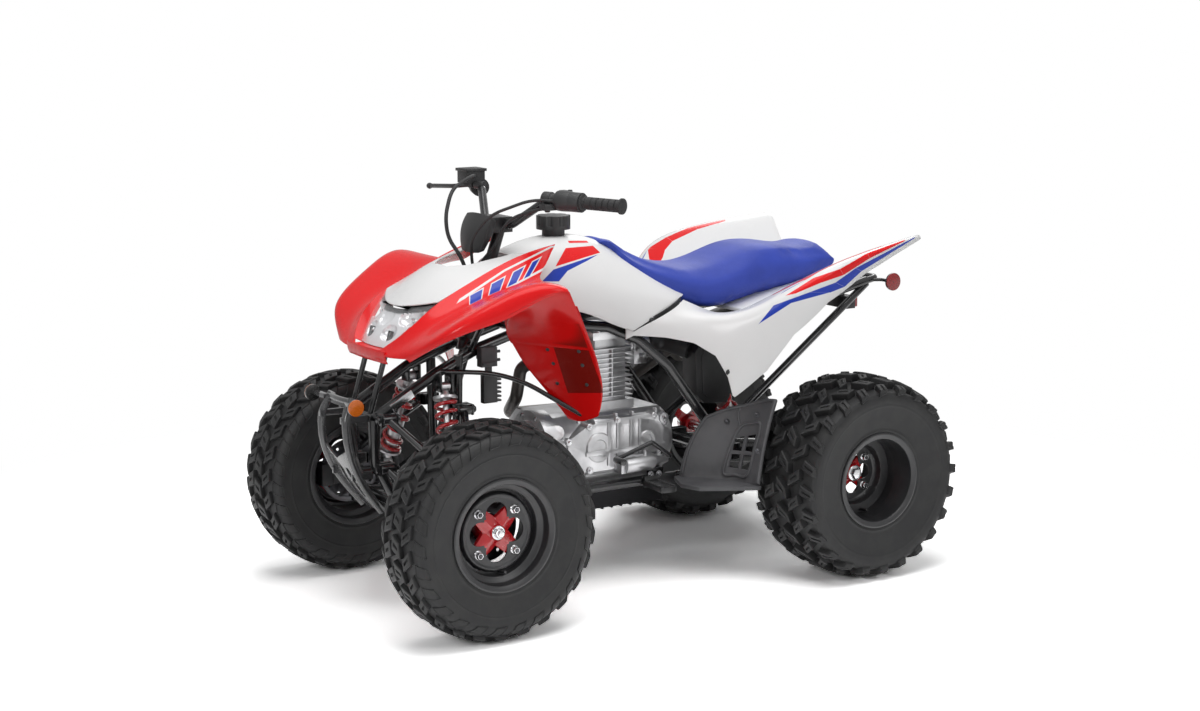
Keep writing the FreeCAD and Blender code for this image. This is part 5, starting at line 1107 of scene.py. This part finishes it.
frontShock, frontCoil = shockParts((178, -580, 334), (91, -550, 572), (0, 1, 0))
rearShock, rearCoil = shockParts((0, 440, 345), (0, 250, 600), (1, 0, 0))
putMesh("frontShocks", bothSides(frontShock), "castAlloy", "alloy", ("front_shocks",), sharp=30)
putMesh("frontSprings", bothSides([frontCoil]), "redPaint", "spring_red", ("front_springs",), sharp=60)
putMesh("rearShock", joined(rearShock), "castAlloy", "alloy", ("rear_shock",), sharp=30)
putMesh("rearSpring", rearCoil, "redPaint", "spring_red", ("rear_spring",), sharp=60)
print("frame and suspension made")

for side in ("left", "right"):
    smoothCopy("knuckle" + side.title(), "knuckle_" + side, "satinBlack", bevel=0.001)
    smoothCopy("tieRod" + side.title(), "tie_rod_" + side, "blackPaint", bevel=0.0005)


def lampPaint():  # silvered inside with a dark toothed strip along its upper edge
    paint = Paint("lampShell", Coat_Weight=0.3)
    x, y, z = paint.place()
    teeth = (x * 150).math("FRACT") * 0.005
    dark = (z - x * x * 1.08 + teeth).rise(0.76, 0.7606).math("MAXIMUM", (y + 0.62).rise(0.0, 0.01))
    flutes = paint.node("TexWave", {"bands_direction": "X"}, {"Vector": paint.spot(), "Scale": 26.0})
    cloud = paint.noise(300, 2.0)
    paint.wear(Base_Color=paint.blend(dark, rgb(0.88, 0.88, 0.9), rgb(0.02, 0.02, 0.022)),
               Metallic=(1.0 - dark) * 0.4, Roughness=dark * 0.2 + cloud * 0.04 + 0.22,
               Normal=paint.bump(flutes * (1.0 - dark), 0.3, 0.0012))
    return paint.material


def coverGlass():  # clear face on, less so at a slant
    paint = Paint("clearLens", IOR=1.5)
    slant = paint.node("LayerWeight", inputs={"Blend": 0.35}, output=1)
    fine, cloud = paint.noise(700, 2.0), paint.noise(30, 2.0)
    paint.wear(Base_Color=paint.blend(cloud, rgb(0.9, 0.92, 0.94), rgb(0.84, 0.86, 0.88)),
               Roughness=fine * 0.03 + 0.02, Alpha=slant * slant * slant * 0.35 + 0.05,
               Normal=paint.bump(cloud, 0.05, 0.0004))
    return paint.material


paints["lampShell"] = lampPaint()
paints["clearLens"] = coverGlass()
lampNet = [[((136 - 66 * t) * v, y + 50 * (1 - 0.8 * t) * v * v, z + 20 * (1 - t) * v * v)
            for v in (-1, -0.5, 0, 0.5, 1)]
           for t, y, z in ((0, -646, 771), (0.33, -676, 742), (0.66, -700, 710), (1, -712, 682))]
# hollows in the lamp's face: middle (x, z), half width and half height, depth, all in metres
lampBowls = [(0.088, 0.757, 0.036, 0.021, 0.019), (0.046, 0.717, 0.026, 0.019, 0.016),
             (0.0, 0.748, 0.03, 0.017, 0.01)]
bulbShape = [(0, 0), (0, 0.007), (0.004, 0.007), (0.005, 0.0045), (0.011, 0.0045), (0.013, 0.003), (0.0135, 0)]
lampRows, lampColumns, strips = 56, 128, 6
lampGap, lampDepth, lampTuck, sillTuck = 0.004, 0.027, 0.01, 0.008


def lampShell():  # the lens face set back, hollowed by half ellipsoids, closed by a plain back
    face, faces = netSheet(lampNet, lampRows, lampColumns)
    inward = np.cross(np.gradient(face, axis=0), np.gradient(face, axis=1))
    inward /= np.linalg.norm(inward, axis=2)[..., None]
    inward *= np.sign(inward[..., 1:2])
    depth = np.full(face.shape[:2], lampGap)
    for cx, cz, rx, rz, deep in lampBowls:
        inside = np.clip(1 - ((np.abs(face[..., 0]) - cx) / rx) ** 2 - ((face[..., 2] - cz) / rz) ** 2, 0, 1)
        depth = np.maximum(depth, lampGap + deep * np.sqrt(inside))
    grids = np.stack([face + inward * depth[..., None], face + inward * lampDepth])
    row, column = np.divmod(np.arange(lampRows * lampColumns).reshape(lampRows, lampColumns), lampColumns)
    border = [np.concatenate([k[0], k[1:, -1], k[-1, -2::-1], k[-2:0:-1, 0]]) for k in (row, column)]
    sides = (grids[:, border[0], border[1]], quadGrid(2, len(border[0]), wrapColumns=True)[:, ::-1].tolist())
    loops = [(grids[0], faces.tolist()), (grids[1], faces[:, ::-1].tolist()), sides]
    bulbs = []
    for cx, cz, rx, rz, deep in lampBowls[:2]:
        for side in (-1, 1):
            spot = np.unravel_index(np.argmin(np.hypot(face[..., 0] - side * cx, face[..., 2] - cz)), face.shape[:2])
            foot, ahead = face[spot] + inward[spot] * (0.003 + deep), -inward[spot]
            bulbs.append(turnedAlong(foot, foot + ahead, bulbShape, 20))
    return joined(loops), joined(bulbs), face[:, 0] + inward[:, 0] * lampTuck, face[-1] + inward[-1] * sillTuck


lampMesh, bulbMesh, lampSide, lampFoot = lampShell()
putMesh("headlights", lampMesh, "lampShell", "black_plastic", ("headlights",), sharp=40, tidy=True)
putMesh("lampBulbs", bulbMesh, "brightSteel", "alloy", sharp=40)
# straight strips from the lamp's edges to the fender's inner edge and to the nose
fenderSide = np.array([onNet("fender", u, 0.0) for u in np.linspace(0.02, 0.42, lampRows)]) * (-1, 1, 1)
bridgeAt = np.linspace(0, 1, strips)[None, :, None]
surround = fenderSide[:, None] * (1 - bridgeAt) + lampSide[::-1][:, None] * bridgeAt
noseTop = nosePart[0][0]
noseLine = np.stack([np.interp(lampFoot[:, 0], noseTop[:, 0], noseTop[:, k]) for k in range(3)], -1)
sill = lampFoot[:, None] * (1 - bridgeAt) + noseLine[:, None] * bridgeAt
putMesh("lampSurround", joined([bothSides([gridPart(surround)]), gridPart(sill)]), "flankPanel", "red_plastic",
        sharp=60, wall=0.002, tidy=True)

for node, finish, slot, edge in (
        ("headlight_lens", "clearLens", "lens", 0.0),
        ("flap_stays", "blackPaint", "frame_black", 0.0), ("frame_plate", "brightSteel", "white_plastic", 0.0006),
        ("regulator", "satinBlack", "black_plastic", 0.0006), ("ignition_coil", "greyMould", "black_plastic", 0.001),
        ("airbox", "blackMould", "black_plastic", 0.0015), ("tail_bracket", "satinBlack", "black_plastic", 0.0008),
        ("tail_lamp", "tailLens", "reflector_red", 0.002), ("carburettor", "castAlloy", "alloy", 0.0008),
        ("starter_motor", "castAlloy", "alloy", 0.001), ("control_cables", "gripRubber", "grip_rubber", 0.0),
        ("steering_stem", "satinBlack", "frame_black", 0.0008),
        ("front_bumper", "bumperGloss", "black_plastic", 0.001), ("crankcase", "caseAlloy", "alloy", 0.002),
        ("swingarm", "blackPaint", "frame_black", 0.001), ("heel_guards", "greyMould", "grey_plastic", 0.0012),
        ("foot_pegs", "satinBlack", "frame_black", 0.001), ("pedals", "blackPaint", "arm_black", 0.0008),
        ("handlebar_pad", "blackMould", "black_plastic", 0.002), ("controls", "blackMould", "black_plastic", 0.0012),
        ("fuel_cap", "blackMould", "black_plastic", 0.002), ("front_reflectors", "amberLens", "amber", 0.0008),
        ("rear_reflectors", "rubyLens", "reflector_red", 0.0008), ("exhaust", "darkPipe", "exhaust_steel", 0.0008),
        ("rear_axle", "groundSteel", "frame_black", 0.0005), ("cylinder", "finAlloy", "alloy", 0.0006)):
    name = "".join(word.title() if k else word for k, word in enumerate(node.split("_")))
    smoothCopy(name, node, finish, bevel=edge)


def hexBolt(place, axis, size, height, washer=1.5):  # a hexagon head on its washer, in millimetres
    foot = np.asarray(place, float)
    tip = foot + np.asarray(axis, float) * (height + 1.5)
    head = turned(foot, tip, [(1, 0), (1, size), (height * 0.75, size), (height, size * 0.8), (height, 0)], 6)
    disc = turned(foot, tip, [(0, 0), (0, size * washer), (1.2, size * washer), (1.2, 0)], 20)
    return [head, disc]


beadSides, beadSteps = 12, 14


def along(net, spots, radius, closed=False):  # a round bead through points of a net
    points = throughPoints(np.array([onNet(net, u, v) for u, v in spots]), beadSteps * len(spots), closed)
    return tubeAlong(points, radius * 0.001, beadSides, closed)


bumperBeads = [along("bumper", [(u, v) for u in np.linspace(0, 1, 8)], 10) for v in (0.05, 0.95)]
bumperBeads += [along("bumper", [(0.02, v) for v in np.linspace(0.05, 0.95, 6)], 8)]
putMesh("bumperBeads", joined(bumperBeads), "bumperGloss", "black_plastic", sharp=60)
guardBeads = [along("guard", [(u, 0.985) for u in np.linspace(0.02, 0.99, 7)], 6),
              along("guard", [(0.985, v) for v in np.linspace(0.02, 0.98, 7)], 4.5),
              along("guard", [(u, 0.02) for u in np.linspace(0.05, 0.99, 7)], 4.5),
              along("guard", [(0.1, 0.44), (0.09, 0.6), (0.1, 0.8), (0.4, 0.84), (0.72, 0.83), (0.74, 0.66),
                              (0.7, 0.5), (0.4, 0.44)], 4.5, closed=True),
              along("guard", [(0.72, 0.5), (0.86, 0.42), (0.98, 0.4)], 3.5)]
putMesh("guardBeads", bothSides(guardBeads), "greyMould", "grey_plastic", sharp=60)
guardBolts = [p for u, v in ((0.8, 0.3), (0.42, 0.91), (0.84, 0.72))
              for p in hexBolt(onNet("guard", u, v) * 1000 + (0.5, -3, 0), (0.35, -0.93, 0), 5.5, 4)]
putMesh("guardBolts", bothSides(guardBolts), "darkSteel", "brake_steel", sharp=30)

coverOutline = [(-205, 318), (-216, 398), (-150, 434), (-60, 444), (60, 444), (96, 420), (80, 334), (24, 312),
                (-60, 309), (-150, 308)]
bosses, bolts = [], []
for y, z in coverOutline:
    y, z = y * 0.97 - 2, 376 + (z - 376) * 0.93
    bosses.append(turned((112, y, z), (150, y, z), [(0, 0), (0, 10), (33.5, 10), (35, 8.5), (35, 0)], 24))
    bolts += hexBolt((147, y, z), (1, 0, 0), 5, 4, 1.25)
    if abs(y) < 180:
        bolts += hexBolt((-142, y, z), (-1, 0, 0), 5, 4, 1.3)
for k in range(8):
    a = (k + 0.5) * np.pi / 4
    bolts += hexBolt((48 + 88 * np.cos(a), -276, 374 + 88 * np.sin(a)), (0, -1, 0), 4.6, 4, 1.2)
for y, z, r in ((-118, 372, 40), (34, 376, 26)):
    bosses.append(turned((136, y, z), (160, y, z), [(0, 0), (0, r), (8.5, r), (11, r - 3), (11, r * 0.55), (8, r * 0.5),
                                                    (8, 0)], 48))
for y in (-176, -60, -8, 66):
    bosses.append(box((122, y, 440), (132, y + 7, 456)))
for x, y in ((44, -55), (44, 31), (-44, -55), (-44, 31)):
    bolts += hexBolt((x, y, 660), (0, 0, 1), 6, 6, 1.4)
for place in ((91, -564, 572), (178, -594, 334), (132, -160, 412), (150, 41, 282), (150, 68, 280)):
    bolts += hexBolt(place, (0, -1, 0) if place[1] < -500 else (1, 0, 0), 6.5, 5, 1.4)
putMesh("engineBosses", joined(bosses), "castAlloy", "alloy", sharp=35)
putMesh("brightBolts", joined(bolts), "brightSteel", "alloy", sharp=30)

tipBolt = onNet("wing", 0.255, 0.93) * 1000
putMesh("wingBolts", bothSides(hexBolt(tipBolt, (0.97, -0.1, -0.1), 5, 3, 1.5)), "satinBlack", "white_plastic",
        sharp=30)

barEnd, barBend = (372, -198, 1034), (168, -288, 1038)
switchCase = [turned((238, -257, 1037), barBend, [(0, 11.3), (0, 22), (3, 25.5), (30, 26.5), (44, 25.5), (47, 20),
                                                  (50, 16.5), (62, 16.5), (64, 20.5), (86, 20.5), (89, 16),
                                                  (89, 11.3)], 36),
              box((176, -318, 1014), (206, -284, 1030)), box((180, -262, 1050), (198, -246, 1062)),
              box((210, -246, 1040), (222, -236, 1052)), rod((186, -300, 1008), (186, -300, 1030), 7),
              rod((214, -250, 1058), (214, -250, 1065), 6)]
reservoir = [box((-250, -322, 1081), (-192, -258, 1088.5)), rod((-221, -290, 1080), (-221, -290, 1089), 4),
             rod((-205, -300, 1038), (-205, -300, 1058), 8), rod((-196, -292, 1046), (-168, -280, 1046), 11),
             turned((-372, -330.5, 1030.6), (-390, -330, 1029), [(0, 0), (0, 4), (3, 7.5), (8, 8.5), (13, 7.5),
                                                                 (16.5, 3), (17, 0)], 24)]
putMesh("controlTrim", joined(switchCase + reservoir), "blackMould", "black_plastic", (), "steering", sharp=35,
        bevel=0.0012)

ends = mm(barEnd, barBend, (66, -336, 966))
barPath = np.concatenate([ends, np.array(ends[::-1]) * (-1, 1, 1)])
putMesh("handlebar", tubeAlong(roundedPath(barPath, 0.038, 14), 0.011, 28), "blackPaint", "frame_black",
        ("handlebar",), "steering")


def gripParts():  # a sleeve with ring grooves between two flanges
    start, bend = mm(barEnd, barBend)
    ahead = (bend - start) / np.linalg.norm(bend - start)
    at = np.linspace(0.008, 0.114, 160)
    groove = 0.0012 * (np.cos(at * 2 * np.pi / 0.0178) > 0.86) + 0.0004 * (np.cos(at * 2 * np.pi / 0.003) > 0)
    sleeve = [(s, 0.0163 - g) for s, g in zip(at, groove)]
    profile = [(0, 0), (0, 0.0185), (0.001, 0.0203), (0.006, 0.0203), (0.0075, 0.0175)] + sleeve + [
        (0.1155, 0.0185), (0.117, 0.0213), (0.1215, 0.0213), (0.122, 0.02), (0.122, 0.0113)]
    return turnedAlong(start - ahead * 0.004, bend, profile, 48)


putMesh("grips", bothSides([gripParts()]), "gripRubber", "grip_rubber", ("grips",), "steering", sharp=45)
print("controls made")


def floorMaterial(s):  # paper that keeps the shadow near the object and fades to white further off
    paint = Paint("floorPaper")
    tree = paint.tree
    tree.nodes.remove(paint.shader)
    distance = paint.node("VectorMath", {"operation": "LENGTH"}, {0: paint.spot()}, output=1)
    grain = paint.noise(40, 2.0)
    plain = paint.node("BsdfDiffuse", inputs={"Color": paint.blend(grain, grey(0.9), grey(0.92))})
    near = paint.node("BsdfDiffuse", inputs={"Color": grey(s["gain"])})
    white = paint.node("Emission", inputs={"Color": grey(1), "Strength": 1.0})
    seen = paint.node("MixShader", inputs={0: distance.rise(*s["fade"]), 1: near, 2: white})
    looked = paint.node("LightPath").math("MAXIMUM", paint.node("LightPath", output=3))
    both = paint.node("MixShader", inputs={0: looked, 1: plain, 2: seen})
    tree.links.new(both.socket, tree.nodes["Material Output"].inputs[0])
    return paint.material


# floor, disc lamps, and a sky with one strength for surfaces, one for reflections, and white for the lens
def addStudio(s):
    grid = np.linspace(-s["floor"], s["floor"], 5)
    x, y = np.meshgrid(grid, grid, indexing="ij")
    mesh = bpy.data.meshes.new("floor")
    points = np.stack([x, y, np.zeros_like(x)], -1).reshape(-1, 3)
    mesh.from_pydata(points.tolist(), [], quadGrid(len(grid), len(grid))[:, ::-1].tolist())
    floor = addObject("floor", mesh)
    mesh.materials.append(floorMaterial(s))
    for name, place, target, size, power in s["lamps"]:
        data = bpy.data.lights.new(name, "AREA")
        data.shape = "DISK"
        data.size = size
        data.energy = power
        lamp = addObject(name, data)
        direction = Vector(target) - Vector(place)
        lamp.matrix_world = Matrix.Translation(place) @ direction.to_track_quat("-Z", "Y").to_matrix().to_4x4()
    world = bpy.data.worlds.new("studio")
    bpy.context.scene.world = world
    world.use_nodes = True
    tree = world.node_tree
    tree.nodes["Background"].name = "soft"
    for name, strength in (("soft", s["world"]), ("mirrored", s["mirrored"]), ("seen", 1.0)):
        background = tree.nodes.get(name) or tree.nodes.new("ShaderNodeBackground")
        background.name = name
        background.inputs[0].default_value = grey(1)
        background.inputs[1].default_value = strength
    path = tree.nodes.new("ShaderNodeLightPath")
    under = tree.nodes["soft"]
    for ray, name in (("Is Glossy Ray", "mirrored"), ("Is Camera Ray", "seen")):
        mix = tree.nodes.new("ShaderNodeMixShader")
        for k, output in enumerate((path.outputs[ray], under.outputs[0], tree.nodes[name].outputs[0])):
            tree.links.new(output, mix.inputs[k])
        under = mix
    tree.links.new(under.outputs[0], tree.nodes["World Output"].inputs[0])


addCamera(view)
addStudio(studio)
bpy.context.scene.view_settings.view_transform = "Standard"
